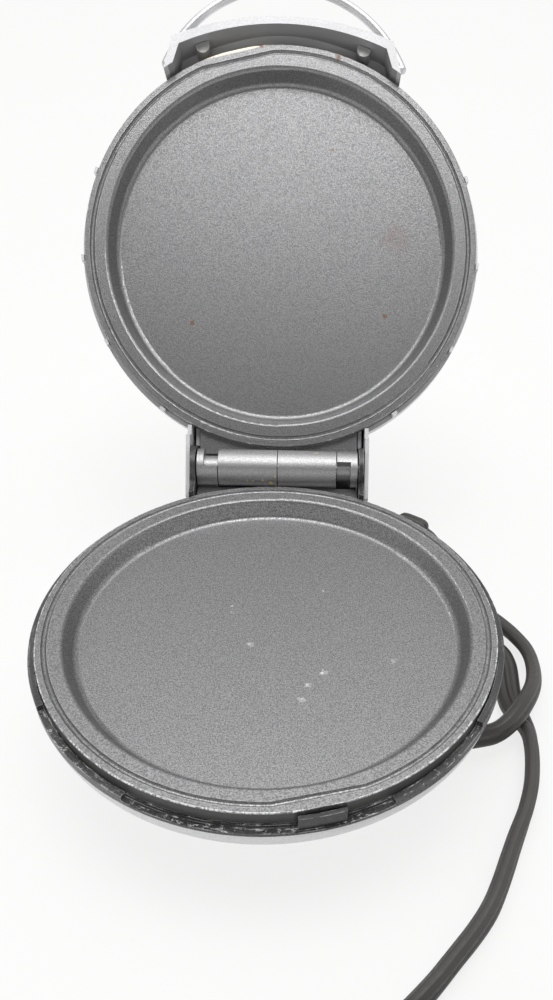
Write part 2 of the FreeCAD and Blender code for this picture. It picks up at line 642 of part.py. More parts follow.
def terminal_block():
    floor = UNDERSIDE_HEIGHT + SHELL_WALL + SEAT_GAP
    half = TERMINAL_BLOCK_LENGTH / 2
    depth = TERMINAL_BLOCK_WIDTH / 2
    top = floor + TERMINAL_BLOCK_HEIGHT
    body = block(-half, half, TERMINAL_BLOCK_Y - depth, TERMINAL_BLOCK_Y + depth, floor, top)
    for x in (-half / 2, half / 2):
        body = body.cut(upright(x, TERMINAL_BLOCK_Y, TERMINAL_BLOCK_WELL, floor + 2, top + 1))
    return whole(body)


def thermal_fuse():
    """Fuse in its clip on the back of the upper plate, made shut."""
    back = 2 * CLOSING_HEIGHT - PLATE_UNDERSIDE + SEAT_GAP
    axis = back + FUSE_CLIP + FUSE_RADIUS
    half = FUSE_LENGTH / 2
    body = barrel(FUSE_RADIUS, -half, half, 0, axis)
    caps = [barrel(FUSE_RADIUS / 3, x, x + 5, 0, axis) for x in (-half - 5, half)]
    clip = block(-half / 2, half / 2, -8, 8, back, back + FUSE_CLIP)
    band = barrel(FUSE_RADIUS + FUSE_CLIP, -half / 2, half / 2, 0, axis)
    return whole(body.fuse(caps + [clip, band]))


def lid_dome(inset):
    """Lid's outer form, drawn in by the inset, down to its rim."""
    side = LID_RADIUS - inset
    top = CLOSING_HEIGHT + LID_HEIGHT - inset
    return turned([
        (0, LID_RIM), (side, LID_RIM), (side, top - LID_CROWN, LID_FILLET - inset), (0, top),
    ])


def shroud(inset, foot):
    """Cover over the hinge behind the lid, drawn in by the inset, down to its foot."""
    y0 = HINGE_REACH - SHROUD_ROOT
    back = HINGE_REACH + SHROUD_BACK - inset
    top = CLOSING_HEIGHT + SHROUD_TOP - inset
    corner = 5.0 - inset
    half = SHROUD_HALF_WIDTH - inset
    side = [(y0, foot), (back, foot), (back, top, corner),
            (HINGE_REACH - SHROUD_BEND, top + SHROUD_RISE, corner + 2), (y0, top + SHROUD_RISE + 1)]
    return across(side, -half, half)


def lid_shell():
    """Lid cover with its hinge shroud and the tabs that hold the plate, made shut."""
    skirt = CLOSING_HEIGHT + SHROUD_SKIRT
    outer = lid_dome(0).fuse(shroud(0, LID_RIM))
    back_wall = shroud(0, skirt).common(block(-BIG, BIG, HINGE_REACH, BIG, 0, LID_RIM + 1))
    outer = outer.fuse(back_wall)
    hollow = lid_dome(LID_WALL).fuse(shroud(SHROUD_WALL, CLOSING_HEIGHT - 1))
    mouth = upright(0, 0, LID_RADIUS - LID_WALL, LID_RIM - 1, LID_RIM + LID_WALL + 1)
    shell = outer.cut(hollow).cut(mouth)
    for x in (-SHROUD_HALF_WIDTH, SHROUD_HALF_WIDTH - SHROUD_WALL):
        disc = barrel(SHROUD_DISC, x, x + SHROUD_WALL)
        disc = disc.cut(block(-BIG, BIG, 0, BIG, 0, CLOSING_HEIGHT - SHROUD_EDGE))
        web = block(x, x + SHROUD_WALL, HINGE_REACH - SHROUD_FRONT, HINGE_REACH + SHROUD_DISC,
                    CLOSING_HEIGHT, LID_RIM + 1)
        shell = shell.fuse([disc, web.common(shroud(0, CLOSING_HEIGHT))])
    cheek_inner = BARREL_HALF + MOVING_GAP
    cheek_back = HINGE_REACH - EAR_RADIUS - 2 * MOVING_GAP
    for x in (-cheek_inner - CHEEK_THICKNESS, cheek_inner):
        cheek = block(x, x + CHEEK_THICKNESS, HINGE_REACH - SHROUD_FRONT, cheek_back, LID_RIM, BIG)
        shell = shell.fuse(cheek.common(shroud(SHROUD_WALL / 2, LID_RIM)))
    tab_ring = upright(0, 0, LID_RADIUS, CLOSING_HEIGHT + TAB_DROP, LID_RIM + 1)
    tab_ring = tab_ring.cut(upright(0, 0, LIP_RADIUS + LIP_CLEARANCE, 0, BIG))
    for i in range(TAB_COUNT):
        for side in (1, -1):
            bearing = 90 + side * (TAB_FIRST + i * TAB_STEP)
            slot = block(0, BIG, -TAB_WIDTH / 2, TAB_WIDTH / 2, 0, BIG)
            slot.rotate(V(0, 0, 0), V(0, 0, 1), bearing)
            shell = shell.fuse(tab_ring.common(slot))
    return whole(shell)


def handle_form(inset, skirt):
    """Handle's form, its plan outline cut by its side outline, drawn in by the inset."""
    z0 = CLOSING_HEIGHT - skirt
    z1 = CLOSING_HEIGHT + HANDLE_CREST + 1
    root = HANDLE_ROOT_X - inset
    corner_x = HANDLE_CORNER_X - inset
    corner_y = HANDLE_CORNER_Y + inset
    front = HANDLE_FRONT + inset
    left, right = V(-corner_x, corner_y, z0), V(corner_x, corner_y, z0)
    ends = [V(root, HANDLE_ROOT_Y, z0), V(-root, HANDLE_ROOT_Y, z0)]
    edges = [
        Part.Arc(left, V(0, front, z0), right).toShape(),
        Part.LineSegment(right, ends[0]).toShape(),
        Part.LineSegment(ends[0], ends[1]).toShape(),
        Part.LineSegment(ends[1], left).toShape(),
    ]
    plan = Part.Face(Part.Wire(edges)).extrude(V(0, 0, z1 - z0))
    nose = CLOSING_HEIGHT + HANDLE_NOSE - inset
    brow = CLOSING_HEIGHT + HANDLE_BROW - inset
    crest = CLOSING_HEIGHT + HANDLE_CREST - inset
    side = [(HANDLE_ROOT_Y, z0), (-BIG / 2, z0), (-BIG / 2, nose), (HANDLE_FRONT, nose),
            (HANDLE_BROW_Y, brow, 6.0), (HANDLE_ROOT_Y, crest)]
    return plan.common(across(side, -BIG, BIG))


def lid_handle():
    """Hollow handle, open below, with the bosses that the bail turns in, made shut."""
    body = handle_form(0, HANDLE_SKIRT)
    body = body.cut(handle_form(HANDLE_WALL, HANDLE_SKIRT + 1))
    z = CLOSING_HEIGHT + BAIL_PIVOT_RISE
    for x0 in (BAIL_BOSS_X - BAIL_END, -BAIL_BOSS_X):
        boss = barrel(BAIL_BOSS_RADIUS, x0, x0 + BAIL_END, BAIL_PIVOT_Y, z)
        body = body.fuse(boss)
    body = body.cut(barrel(BAIL_WIRE + BAIL_FIT, -BIG, BIG, BAIL_PIVOT_Y, z))
    body = body.cut(upright(0, 0, LID_RADIUS + SEAT_GAP, 0, BIG))
    return whole(max(body.Solids, key=lambda s: s.Volume))


def handle_studs():
    """Round studs that hang from the handle's roof, made shut."""
    studs = []
    roof = handle_form(HANDLE_WALL + SEAT_GAP, HANDLE_SKIRT + 1)
    for side in (-1, 1):
        stud = upright(side * STUD_X, STUD_Y, STUD_RADIUS, CLOSING_HEIGHT + STUD_END, BIG)
        studs.append(whole(stud.common(roof)))
    return Part.makeCompound(studs)


def bail():
    """Wire bail: a round arch between two ends that turn in the handle, made shut."""
    z = CLOSING_HEIGHT + BAIL_PIVOT_RISE
    x, y = BAIL_PIVOT_X, BAIL_PIVOT_Y
    tip = BAIL_BOSS_X - BAIL_END + MOVING_GAP
    arch_radius = (x * x + BAIL_REACH ** 2) / (2 * BAIL_REACH)
    rise = math.asin(x / arch_radius)
    start = V(x, y, z)
    crown = V(0, y - BAIL_REACH, z)
    end = V(-x, y, z)
    arch = Part.Wire([Part.Arc(start, crown, end).toShape()])
    heading = V(-math.cos(rise), -math.sin(rise), 0)
    tube = Part.Wire([Part.makeCircle(BAIL_WIRE, start, heading)])
    arch_solid = arch.makePipeShell([tube], True, False)
    ends = [barrel(BAIL_WIRE, tip, x, y, z), barrel(BAIL_WIRE, -x, -tip, y, z)]
    knees = [Part.makeSphere(BAIL_WIRE, p) for p in (start, end)]
    return whole(arch_solid.fuse(ends + knees))


def strain_relief():
    stem = oblong_bar(0, RELIEF_LENGTH, (RELIEF_WIDTH, RELIEF_THICKNESS),
                      (CORD_WIDTH + 1.2, CORD_THICKNESS + 2.2))
    collar_size = (RELIEF_WIDTH + 2 * RELIEF_COLLAR, RELIEF_THICKNESS + 2 * RELIEF_COLLAR)
    root = oblong_bar(-RELIEF_INSIDE - 0.1, 0, (RELIEF_WIDTH, RELIEF_THICKNESS),
                      (RELIEF_WIDTH, RELIEF_THICKNESS))
    collar = oblong_bar(-RELIEF_INSIDE - RELIEF_COLLAR_LENGTH, -RELIEF_INSIDE, collar_size, collar_size)
    mouth = Part.makeCylinder(CORD_DIAMETER / 2 + SEAT_GAP / 2, 2 * CORD_SLACK,
                              V(RELIEF_LENGTH - CORD_SLACK, 0, 0), V(1, 0, 0))
    return whole(entry_frame(stem.fuse([root, collar]).cut(mouth)))


def cord_points():
    start = entry_point(RELIEF_LENGTH - CORD_SLACK + SEAT_GAP)[0]
    return [start] + [V(*p) for p in CORD_ROUTE]


def bent_path(points):
    """Straight runs joined by tangent arcs, each as large as its runs allow, and their radii."""
    edges = []
    radii = []
    last = points[0]
    for before, here, after in zip(points, points[1:], points[2:]):
        back = (before - here)
        ahead = (after - here)
        run = min(back.Length, ahead.Length)
        back.normalize()
        ahead.normalize()
        half = back.getAngle(ahead) / 2
        trim = ARC_SHARE * run
        radius = trim * math.tan(half)
        middle = (back + ahead).normalize()
        crest = here + middle * (radius / math.sin(half) - radius)
        edges.append(Part.LineSegment(last, here + back * trim).toShape())
        edges.append(Part.Arc(here + back * trim, crest, here + ahead * trim).toShape())
        radii.append(radius)
        last = here + ahead * trim
    edges.append(Part.LineSegment(last, points[-1]).toShape())
    return Part.Wire(edges), radii


def swept(path, heading):
    """Round tube along a path that starts off in the heading."""
    start = path.OrderedVertexes[0].Point
    ring = Part.Wire([Part.makeCircle(CORD_DIAMETER / 2, start, heading)])
    return path.makePipeShell([ring], True, False)


def cord():
    """Free stretch of the cord, from the strain relief to the coil."""
    ends, way = coil_end_points()
    points = cord_points() + [ends - way * SEAT_GAP]
    path, radii = bent_path(points)
    tube = swept(path, points[1] - points[0])
    section = math.pi * CORD_DIAMETER ** 2 / 4
    print("cord bend radii", [round(r, 1) for r in radii])
    print("cord length %.1f, volume over section times length %.4f"
          % (path.Length, tube.Volume / (section * path.Length)))
    return tube


def coil_point(turn):
    """Middle of the coil's cord after so many turns, inwards below and outwards above."""
    inward = turn if turn <= COIL_TURNS else 2 * COIL_TURNS - turn
    radius = COIL_OUTER - COIL_PITCH * inward
    climb_start = COIL_TURNS - 0.25
    climb = min(max((turn - climb_start) / 0.5, 0), 1)
    height = COIL_HEIGHT + COIL_PITCH * climb
    bearing = math.radians(COIL_START + 360 * turn)
    return V(COIL_CENTRE_X + radius * math.cos(bearing), COIL_CENTRE_Y + radius * math.sin(bearing), height)


def coil_end_points():
    """Where the free cord meets the coil's first straight end, and the way it runs there."""
    first = coil_point(0)
    bearing = math.radians(COIL_START + 90)
    way = V(math.cos(bearing), math.sin(bearing), 0)
    return first - way * CORD_DIAMETER, way


def biarc(start, start_way, end, end_way):
    """Two tangent arcs from one point and heading to another."""
    chord = end - start
    sum_way = start_way + end_way
    a = 2 * (1 - start_way.dot(end_way))
    b = 2 * chord.dot(sum_way)
    c = -chord.dot(chord)
    reach = (-b + math.sqrt(b * b - 4 * a * c)) / (2 * a)
    joint = (start + start_way * reach + end - end_way * reach) * 0.5
    arcs = []
    for p, way, q in ((start, start_way, joint), (end, end_way * -1, joint)):
        line = q - p
        normal = (line - way * line.dot(way)).normalize()
        radius = line.dot(line) / (2 * line.dot(normal))
        centre = p + normal * radius
        crest = centre + ((p + q) * 0.5 - centre).normalize() * radius
        arcs.append((p, crest, q))
    (p0, c0, j0), (p1, c1, j1) = arcs
    return [Part.Arc(p0, c0, j0).toShape(), Part.Arc(j1, c1, p1).toShape()]


def coil_path():
    """Spiral in below, climb while it reverses and spiral out above, with straight ends."""
    step = 0.25
    count = int(round(2 * COIL_TURNS / step))
    points = [coil_point(i * step) for i in range(count + 1)]
    ways = []
    for i in range(count + 1):
        bearing = math.radians(COIL_START + 360 * i * step + 90)
        ways.append(V(math.cos(bearing), math.sin(bearing), 0))
    edges = [Part.LineSegment(points[0] - ways[0] * CORD_DIAMETER, points[0]).toShape()]
    for p, way, q, next_way in zip(points, ways, points[1:], ways[1:]):
        edges.extend(biarc(p, way, q, next_way))
    edges.append(Part.LineSegment(points[-1], points[-1] + ways[-1] * CORD_DIAMETER).toShape())
    return Part.Wire(edges), points[-1] + ways[-1] * CORD_DIAMETER, ways[0], ways[-1]


def least_gap(path, spacing):
    """Least distance of the coil's tube from its own other turns, measured on points."""
    points = path.discretize(Distance=spacing)
    skip = int(0.5 * 2 * math.pi * COIL_OUTER / spacing)
    least = BIG
    for i, p in enumerate(points):
        for q in points[i + skip:]:
            least = min(least, (p - q).Length)
    return least - CORD_DIAMETER


def cord_coil():
    path, tail, way_in, way_out = coil_path()
    tube = swept(path, way_in)
    section = math.pi * CORD_DIAMETER ** 2 / 4
    print("coil length %.1f, volume over section times length %.4f, least gap %.2f"
          % (path.Length, tube.Volume / (section * path.Length), least_gap(path, 2.0)))
    return tube


def coil_tie():
    """Band round all the turns on one side of the coil."""
    inner = COIL_OUTER - COIL_PITCH * COIL_TURNS - CORD_DIAMETER / 2 - COIL_PITCH / 2
    outer = COIL_OUTER + CORD_DIAMETER / 2 + TIE_CLEARANCE
    z0 = COIL_HEIGHT - CORD_DIAMETER / 2 - TIE_CLEARANCE
    z1 = COIL_HEIGHT + COIL_PITCH + CORD_DIAMETER / 2 + TIE_CLEARANCE
    half = TIE_WIDTH / 2
    t = TIE_THICKNESS
    corner = CORD_DIAMETER / 3
    bands = []
    for grow in (t, 0):
        outline = [(inner - grow, z0 - grow, corner), (outer + grow, z0 - grow, corner),
                   (outer + grow, z1 + grow, corner), (inner - grow, z1 + grow, corner)]
        face = face_of(outline, lambda p: V(p.x, -half, p.y))
        bands.append(face.extrude(V(0, TIE_WIDTH, 0)))
    band = bands[0].cut(bands[1])
    band.rotate(V(0, 0, 0), V(0, 0, 1), TIE_BEARING)
    band.translate(V(COIL_CENTRE_X, COIL_CENTRE_Y, 0))
    return whole(band)


def lead_points():
    """Free lead from the coil's end to the plug, turning away from the coil."""
    path, tail, way_in, way_out = coil_path()
    turn = FreeCAD.Rotation(V(0, 0, 1), -LEAD_TURN)
    drop = V(0, 0, -LEAD_DROP)
    middle = tail + way_out * LEAD_RUN + drop
    return [tail + way_out * SEAT_GAP, middle, middle + turn.multVec(way_out) * LEAD_RUN + drop]


def plug_lead():
    points = lead_points()
    path, radii = bent_path(points)
    print("plug lead length %.1f, bend radius %.1f" % (path.Length, radii[0]))
    return swept(path, points[1] - points[0])


def plug_frame(shape):
    """Carry a shape made along +X to the end of the lead."""
    points = lead_points()
    way = points[2] - points[1]
    placed = shape.copy()
    placed.rotate(V(0, 0, 0), V(0, 0, 1), math.degrees(math.atan2(way.y, way.x)))
    placed.translate(points[2])
    return placed


def plug_body():
    height = 2 * lead_points()[2].z
    neck = oblong_bar(SEAT_GAP, PLUG_NECK, (PLUG_NECK_WIDTH, PLUG_NECK_HEIGHT), (PLUG_WIDTH, height))
    w, h = PLUG_WIDTH / 2, height / 2
    grip = block(PLUG_NECK, PLUG_NECK + PLUG_LENGTH, -w, w, -h, h)
    long_edges = [e for e in grip.Edges if e.BoundBox.XLength > PLUG_LENGTH / 2]
    grip = grip.makeFillet(h * 0.6, long_edges)
    body = neck.fuse(grip)
    face = PLUG_NECK + PLUG_LENGTH
    for side in (-1, 1):
        y = side * BLADE_SPACING / 2
        slot = block(face - BLADE_ROOT, face + 1,
                     y - BLADE_THICKNESS / 2 - SEAT_GAP, y + BLADE_THICKNESS / 2 + SEAT_GAP,
                     -BLADE_WIDTH / 2 - SEAT_GAP, BLADE_WIDTH / 2 + SEAT_GAP)
        body = body.cut(slot)
    return whole(plug_frame(body))


def plug_blades():
    face = PLUG_NECK + PLUG_LENGTH
    blades = []
    for side in (-1, 1):
        y = side * BLADE_SPACING / 2
        blade = block(face - BLADE_ROOT + SEAT_GAP, face + BLADE_LENGTH, y - BLADE_THICKNESS / 2,
                      y + BLADE_THICKNESS / 2, -BLADE_WIDTH / 2, BLADE_WIDTH / 2)
        blades.append(plug_frame(blade))
    return Part.makeCompound(blades)


def pieces():
    front, rear = foot_places()
    made = {
        "base_shell": base_shell(),
        "base_ring": base_ring(),
        "lower_plate": lower_plate(),
        "lower_element": heating_element(),
        "lower_reflector": reflector(),
        "thermostat": thermostat(),
        "terminal_block": terminal_block(),
        "base_screws": base_screws(),
        "front_feet": feet(front),
        "rear_feet": feet(rear),
        "hinge_pin": hinge_pin(),
        "strain_relief": strain_relief(),
        "cord": cord(),
        "cord_coil": cord_coil(),
        "coil_tie": coil_tie(),
        "plug_lead": plug_lead(),
        "plug_body": plug_body(),
        "plug_blades": plug_blades(),
    }
    lid = {
        "lid_shell": lid_shell(),
        "upper_plate": upper_plate(),
        "upper_element": turned_over(heating_element()),
        "upper_reflector": turned_over(reflector()),
        "thermal_fuse": thermal_fuse(),
        "lid_handle": lid_handle(),
        "handle_studs": handle_studs(),
        "bail": bail(),
    }
    for name, shape in lid.items():
        made[name] = turned_about_hinge(shape)
    return made


os.makedirs("parts", exist_ok=True)
for name, shape in pieces().items():
    if not shape.isValid():
        raise ValueError("%s is not valid" % name)
    shape.exportStep("parts/%s.step" % name)
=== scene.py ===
"""Looks of a small round electric griddle: finishes, flat cord, plug and a plain stage."""

import json
import math

import bpy
from bpy.props import FloatProperty, FloatVectorProperty, IntProperty, PointerProperty
from mathutils import Matrix, Vector


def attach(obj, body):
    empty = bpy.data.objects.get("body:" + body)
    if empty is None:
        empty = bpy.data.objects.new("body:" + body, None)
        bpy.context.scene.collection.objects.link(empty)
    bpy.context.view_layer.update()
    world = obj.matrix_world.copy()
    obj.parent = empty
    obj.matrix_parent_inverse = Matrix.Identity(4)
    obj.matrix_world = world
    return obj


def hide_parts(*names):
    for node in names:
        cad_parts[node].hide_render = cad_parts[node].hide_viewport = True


bl_info = {
    "name": "Round griddle looks",
    "version": (1, 0, 0),
    "blender": (4, 5, 0),
    "location": "View3D > Sidebar > Griddle",
    "description": "Finishes, cord, plug and stage of a small round griddle with a hinged lid",
    "category": "Object",
}

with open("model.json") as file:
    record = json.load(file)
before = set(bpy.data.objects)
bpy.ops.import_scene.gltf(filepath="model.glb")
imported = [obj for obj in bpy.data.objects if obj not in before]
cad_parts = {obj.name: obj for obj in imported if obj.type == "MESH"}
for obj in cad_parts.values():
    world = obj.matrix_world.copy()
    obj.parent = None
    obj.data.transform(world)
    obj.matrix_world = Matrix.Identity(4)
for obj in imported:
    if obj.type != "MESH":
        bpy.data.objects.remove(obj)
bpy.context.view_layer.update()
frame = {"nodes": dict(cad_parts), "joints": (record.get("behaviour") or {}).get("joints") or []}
NODES = frame["nodes"]
LID_HINGE = next(joint for joint in frame["joints"] if joint["name"] == "lid_hinge")

MM = 0.001
HINGE_PLACE = tuple(LID_HINGE["pos_m"])
LID_OPENING = math.radians(LID_HINGE["range_deg"][1])
UP = Vector((0, 0, 1))
WHITE = (1, 1, 1, 1)

# Cooking plates, measured with the lid shut
LIP_RADIUS = 60.0 * MM
LOWER_LIP = 38.6 * MM
UPPER_LIP = 41.4 * MM
KNUCKLE_RADIUS = 6.05 * MM
HINGE_SIDE = 54.0 * MM          # the castings are round up to here, and hinge past it
GATE_BEARING = math.radians(-104.0)
GATE_REACH = 59.1 * MM

# Marks on the plates: kind, place and size in millimetres, raggedness and strength
LOWER_FLOOR = 33.6
UPPER_FLOOR = 46.4
UPPER_RIM = UPPER_LIP / MM
LOWER_MARKS = [
    ("chip", (-10.6, 11.6, LOWER_FLOOR), 0.38, 0.9, 0.8),
    ("chip", (-10.4, 9.0, LOWER_FLOOR), 0.6, 1.0, 0.2),
    ("chip", (-5.1, -3.0, LOWER_FLOOR), 0.40, 0.9, 0.6),
    ("chip", (-4.8, -3.2, LOWER_FLOOR), 1.0, 1.2, 0.25),
    ("chip", (10.4, -17.3, LOWER_FLOOR), 0.42, 0.9, 0.7),
    ("chip", (10.9, -17.4, LOWER_FLOOR), 0.9, 1.2, 0.25),
    ("chip", (14.2, -13.1, LOWER_FLOOR), 0.45, 0.9, 0.95),
    ("chip", (14.6, -13.0, LOWER_FLOOR), 1.2, 1.2, 0.3),
    ("chip", (9.2, -22.0, LOWER_FLOOR), 0.35, 0.9, 0.5),
    ("chip", (9.0, -22.3, LOWER_FLOOR), 1.0, 1.3, 0.28),
    ("chip", (14.4, 18.3, LOWER_FLOOR), 0.36, 0.5, 0.7),
    ("chip", (32.7, -8.4, LOWER_FLOOR), 0.9, 1.3, 0.3),
    ("soil", (12.0, 67.9, 45.7), 0.45, 0.5, 0.8),
]
UPPER_MARKS = [
    ("rust", (-27.7, 21.6, UPPER_FLOOR), 0.9, 0.5, 0.9),
    ("rust", (32.8, 18.4, UPPER_FLOOR), 0.8, 0.5, 0.9),
    ("rust", (35.8, -5.2, UPPER_FLOOR), 5.0, 0.5, 0.15),
    ("rust", (15.6, -31.9, UPPER_FLOOR), 0.5, 0.4, 0.7),
    ("rust", (-6.8, -59.4, UPPER_RIM), 0.9, 0.8, 0.8),
    ("rust", (16.7, -56.5, UPPER_RIM), 0.9, 0.8, 0.8),
    ("soil", (-1.9, 72.0, 36.9), 0.75, 0.6, 1.0),
    ("soil", (-4.5, 71.3, 36.0), 0.45, 0.5, 0.9),
    ("soil", (-7.4, 71.4, 36.2), 0.40, 0.5, 0.9),
    ("soil", (-9.1, 71.5, 36.3), 0.35, 0.5, 0.8),
    ("soil", (-12.7, 71.4, 36.2), 0.30, 0.5, 0.8),
    ("soil", (-0.6, 70.2, 35.1), 0.35, 0.5, 0.8),
]

# Hollow under the lid's handle, measured with the lid shut
POCKET_CENTRE = 15.0 * MM
POCKET_RADIUS = 79.0 * MM
POCKET_HALF_WIDTH = 49.15 * MM  # where its flared ends would cross the plate's middle
POCKET_FLARE = 0.29
POCKET_BACK = -48.5 * MM
POCKET_LOW = 37.7 * MM
POCKET_HIGH = 50.1 * MM

# Ledge of the black ring, where residue gathers
LEDGE_TOP = 35.05 * MM
LEDGE_FRONT = -27.5 * MM

# Strain relief in millimetres along its way: where its middle line starts, how it runs, and its ribs
ENTRY_PLACE = Vector((30.206, 48.339, 23.4)) * MM
ENTRY_BEARING = math.radians(58.0)
ENTRY_SLOPE = math.radians(17.0)
RELIEF_LENGTH = 28.5
RELIEF_SQUARE = 4
MOUTH_SQUARE = 3                # round the flat cord, here and in the plug
RELIEF_RIBS = 9
RELIEF_FIRST_RIB = 5.0
RELIEF_PITCH = 2.5
RELIEF_WIDTH = 11.0
RELIEF_HEIGHT = 7.6
RELIEF_WIDENING = 0.2
RELIEF_RISE = 0.8
RELIEF_RIB = [(0.0, 0.0), (0.2, 1.3), (1.0, 1.35), (1.2, 0.1)]  # along the rib, taken off its size

# Plug in millimetres along its way, and its ribs as (along, width, height)
PLUG_PLACE = Vector((-12.24, -123.60, 8.4)) * MM
PLUG_BEARING = math.radians(187.0)
NECK_RIBS = 3
NECK_FIRST_RIB = 0.8
NECK_PITCH = 2.2
NECK_GROWTH = 0.7
NECK_SQUARE = 3.5
NECK_RIB = [(0.0, 10.0, 7.4), (0.9, 10.2, 7.6), (1.1, 8.8, 6.2), (1.9, 8.8, 6.2)]
GRIP_RIBS = 4
GRIP_FIRST_RIB = 15.5
GRIP_PITCH = 2.6
GRIP_SQUARE = 4
HEAD_SQUARE = 4.6
GRIP_RIB = [(0.0, 20.2, 16.0), (0.3, 19.0, 15.2), (1.1, 19.0, 15.2), (1.4, 20.3, 16.1)]

# Cord route in millimetres with its lean in degrees: 0 lies flat, 90 stands on edge
CORD_ROUTE = [
    (40.44, 64.72, 17.49, 0), (46.6, 74.6, 13.6, 10), (54.8, 70.4, 5.4, 40), (58.2, 61.5, 4.0, 66),
    (60.8, 50.0, 3.9, 70), (66.7, 41.4, 4.0, 62), (72.8, 34.6, 4.2, 57), (76.6, 27.6, 4.7, 57),
    (78.1, 22.2, 5.4, 62), (78.2, 16.2, 6.4, 67), (77.4, 10.2, 7.7, 71), (75.8, 4.8, 9.0, 76),
    (73.6, 0.1, 10.0, 78), (70.8, -4.7, 10.5, 77), (68.4, -7.9, 10.4, 80), (65.9, -10.4, 9.9, 85),
    (63.4, -12.0, 9.2, 90), (60.4, -12.6, 8.4, 92), (49.6, -13.0, 6.2, 90), (37.8, -4.6, 4.4, 88),
    (34.2, 14.4, 3.9, 86), (40.4, 27.6, 3.8, 76), (53.0, 32.4, 3.4, 50), (63.6, 30.6, 2.7, 18),
    (69.4, 26.4, 2.3, 6), (70.8, 20.6, 2.2, 2), (70.6, 15.2, 2.2, 2), (70.4, 10.0, 2.2, 3),
    (70.6, 4.2, 2.4, 8), (71.9, -1.2, 3.0, 22), (73.2, -5.0, 3.5, 46), (73.9, -9.4, 3.85, 68),
    (73.7, -14.5, 3.85, 77), (73.0, -20.1, 3.85, 81), (71.5, -27.5, 3.85, 85), (68.5, -35.9, 3.85, 88),
    (65.1, -43.4, 3.8, 82), (62.2, -50.5, 3.8, 79), (59.3, -57.4, 3.8, 80), (56.1, -64.0, 3.8, 80),
    (51.5, -70.4, 3.8, 83), (46.3, -76.5, 3.8, 85), (41.4, -82.5, 3.8, 84), (35.8, -88.6, 3.8, 78),
    (28.2, -96.1, 3.7, 60),
]
PLUG_LEAD = [(2.61, -121.77, 9.2, 20), (-13.3, -123.73, 8.4, 0)]
COIL_CENTRE = (43.2, -133.5)
COIL_OUTER = 37.0
COIL_PITCH = 6.2
COIL_TURNS = 1.5                # inwards, and as many outwards on top
COIL_CLIMB = 0.5                # share of a turn from the lower layer to the upper
COIL_START = 135.0
COIL_HEIGHT = 3.8
COIL_LEAN = 45
COIL_EASE = 3.8                 # how far outside the coil its cord comes and goes
COIL_STEPS = 16
LINE_STEPS = 8
SECTION_STEPS = 28
WEB_SHARE = 0.62                # web's thickness over the core's
RIB_SHARE = 0.14                # rib's height over the core's radius
RIB_START = 0.1                 # plain middle of the cord, as a share of its half width
OBLONG_STEPS = 32

# Stage: sizes in metres, and where each room light fades in along its direction
FLOOR_REACH = 4.0
FLOOR_DROP = 0.2 * MM
FLOOR_GLOW = 0.78
SENSOR_WIDTH = 36
NEAREST_SEEN = 0.01
LAMP_PLACE = (0.02, 0.0, 1.05)
LAMP_AIM = (0.02, 0.03, 0.0)
LAMP_SIZE = (0.60, 0.50)
HIGH_BAND = (0.66, 0.90)
BACK_BAND = (-0.58, 0.12)
LOW_BAND = (0.62, 0.36)


# Settings

def shade(name, text, default):
    """Colour that a user may set."""
    return FloatVectorProperty(name=name, description=text, default=default, size=4, min=0, max=1,
                               subtype="COLOR")


def span(name, text, default):
    """Length that a user may set."""
    return FloatProperty(name=name, description=text, default=default, min=0, unit="LENGTH",
                         subtype="DISTANCE")


def angle(name, text, degrees):
    """Angle that a user may set."""
    return FloatProperty(name=name, description=text, default=math.radians(degrees), subtype="ANGLE")


def power(name, text, default):
    """Strength of a light that a user may set."""
    return FloatProperty(name=name, description=text, default=default, min=0)


class GriddlePlateSettings(bpy.types.PropertyGroup):
    """Coating of the two cooking plates."""
    dark: shade("Coating", "Dark grains of the coating", (0.16, 0.16, 0.165, 1))
    light: shade("Flakes", "Light grains of the coating", (0.37, 0.37, 0.372, 1))
    # Knuckles: burnished, and lighter still as a painted highlight on the hinge barrels.
    rubbed_and_lit: shade("Rubbed", "Burnished hinge knuckles", (0.52, 0.52, 0.525, 1))
    # Side under the lip: partly its own dark colour, partly painted shade on a side that faces away from
    # the lamp.
    shaded_flank: shade("Flank", "Uncoated side under the lip", (0.060, 0.059, 0.058, 1))
    bare: shade("Bare metal", "Casting where the coating is gone", (0.72, 0.66, 0.54, 1))
    # Pale colour of sharp edges, partly wear of the coating and partly a painted highlight; the coating's
    # light flecks take it too.
    worn_and_lit: shade("Edge wear and highlight", "Coating rubbed thin along the lip", (0.55, 0.55, 0.55, 1))
    chip: shade("Chips", "Pale marks on the floor", (0.80, 0.80, 0.80, 1))
    rust: shade("Rust", "Rust specks", (0.22, 0.10, 0.05, 1))
    soil: shade("Soil", "Yellow crumbs at the hinge", (0.80, 0.58, 0.18, 1))
    grain: span("Grain", "Size of the coating's grains", 0.00034)


class GriddleShellSettings(bpy.types.PropertyGroup):
    """Silver plastic of the shells and the handle."""
    silver: shade("Silver", "Metallic plastic", (0.78, 0.78, 0.79, 1))
    shadow: shade("Flake shadow", "Darker flakes in it", (0.64, 0.64, 0.65, 1))
    # Painted shade: the handle's hollow is the same silver plastic, painted darker here for the shade in
    # it.
    inside: shade("Inside", "Unpainted inside of the handle", (0.40, 0.40, 0.405, 1))
    flake: span("Flake", "Size of its flakes", 0.0004)


class GriddleTrimSettings(bpy.types.PropertyGroup):
    """Black ring and feet."""
    black: shade("Black", "Ring plastic", (0.030, 0.030, 0.031, 1))
    faded: shade("Faded black", "Rubbed places of it", (0.070, 0.070, 0.071, 1))
    # Residue colour, also used for the painted highlight along the ring's edges.
    dust_and_highlight: shade("Dust", "Pale residue on the ledge", (0.82, 0.82, 0.79, 1))
    feet: shade("Feet", "Rubber of the feet", (0.035, 0.035, 0.035, 1))


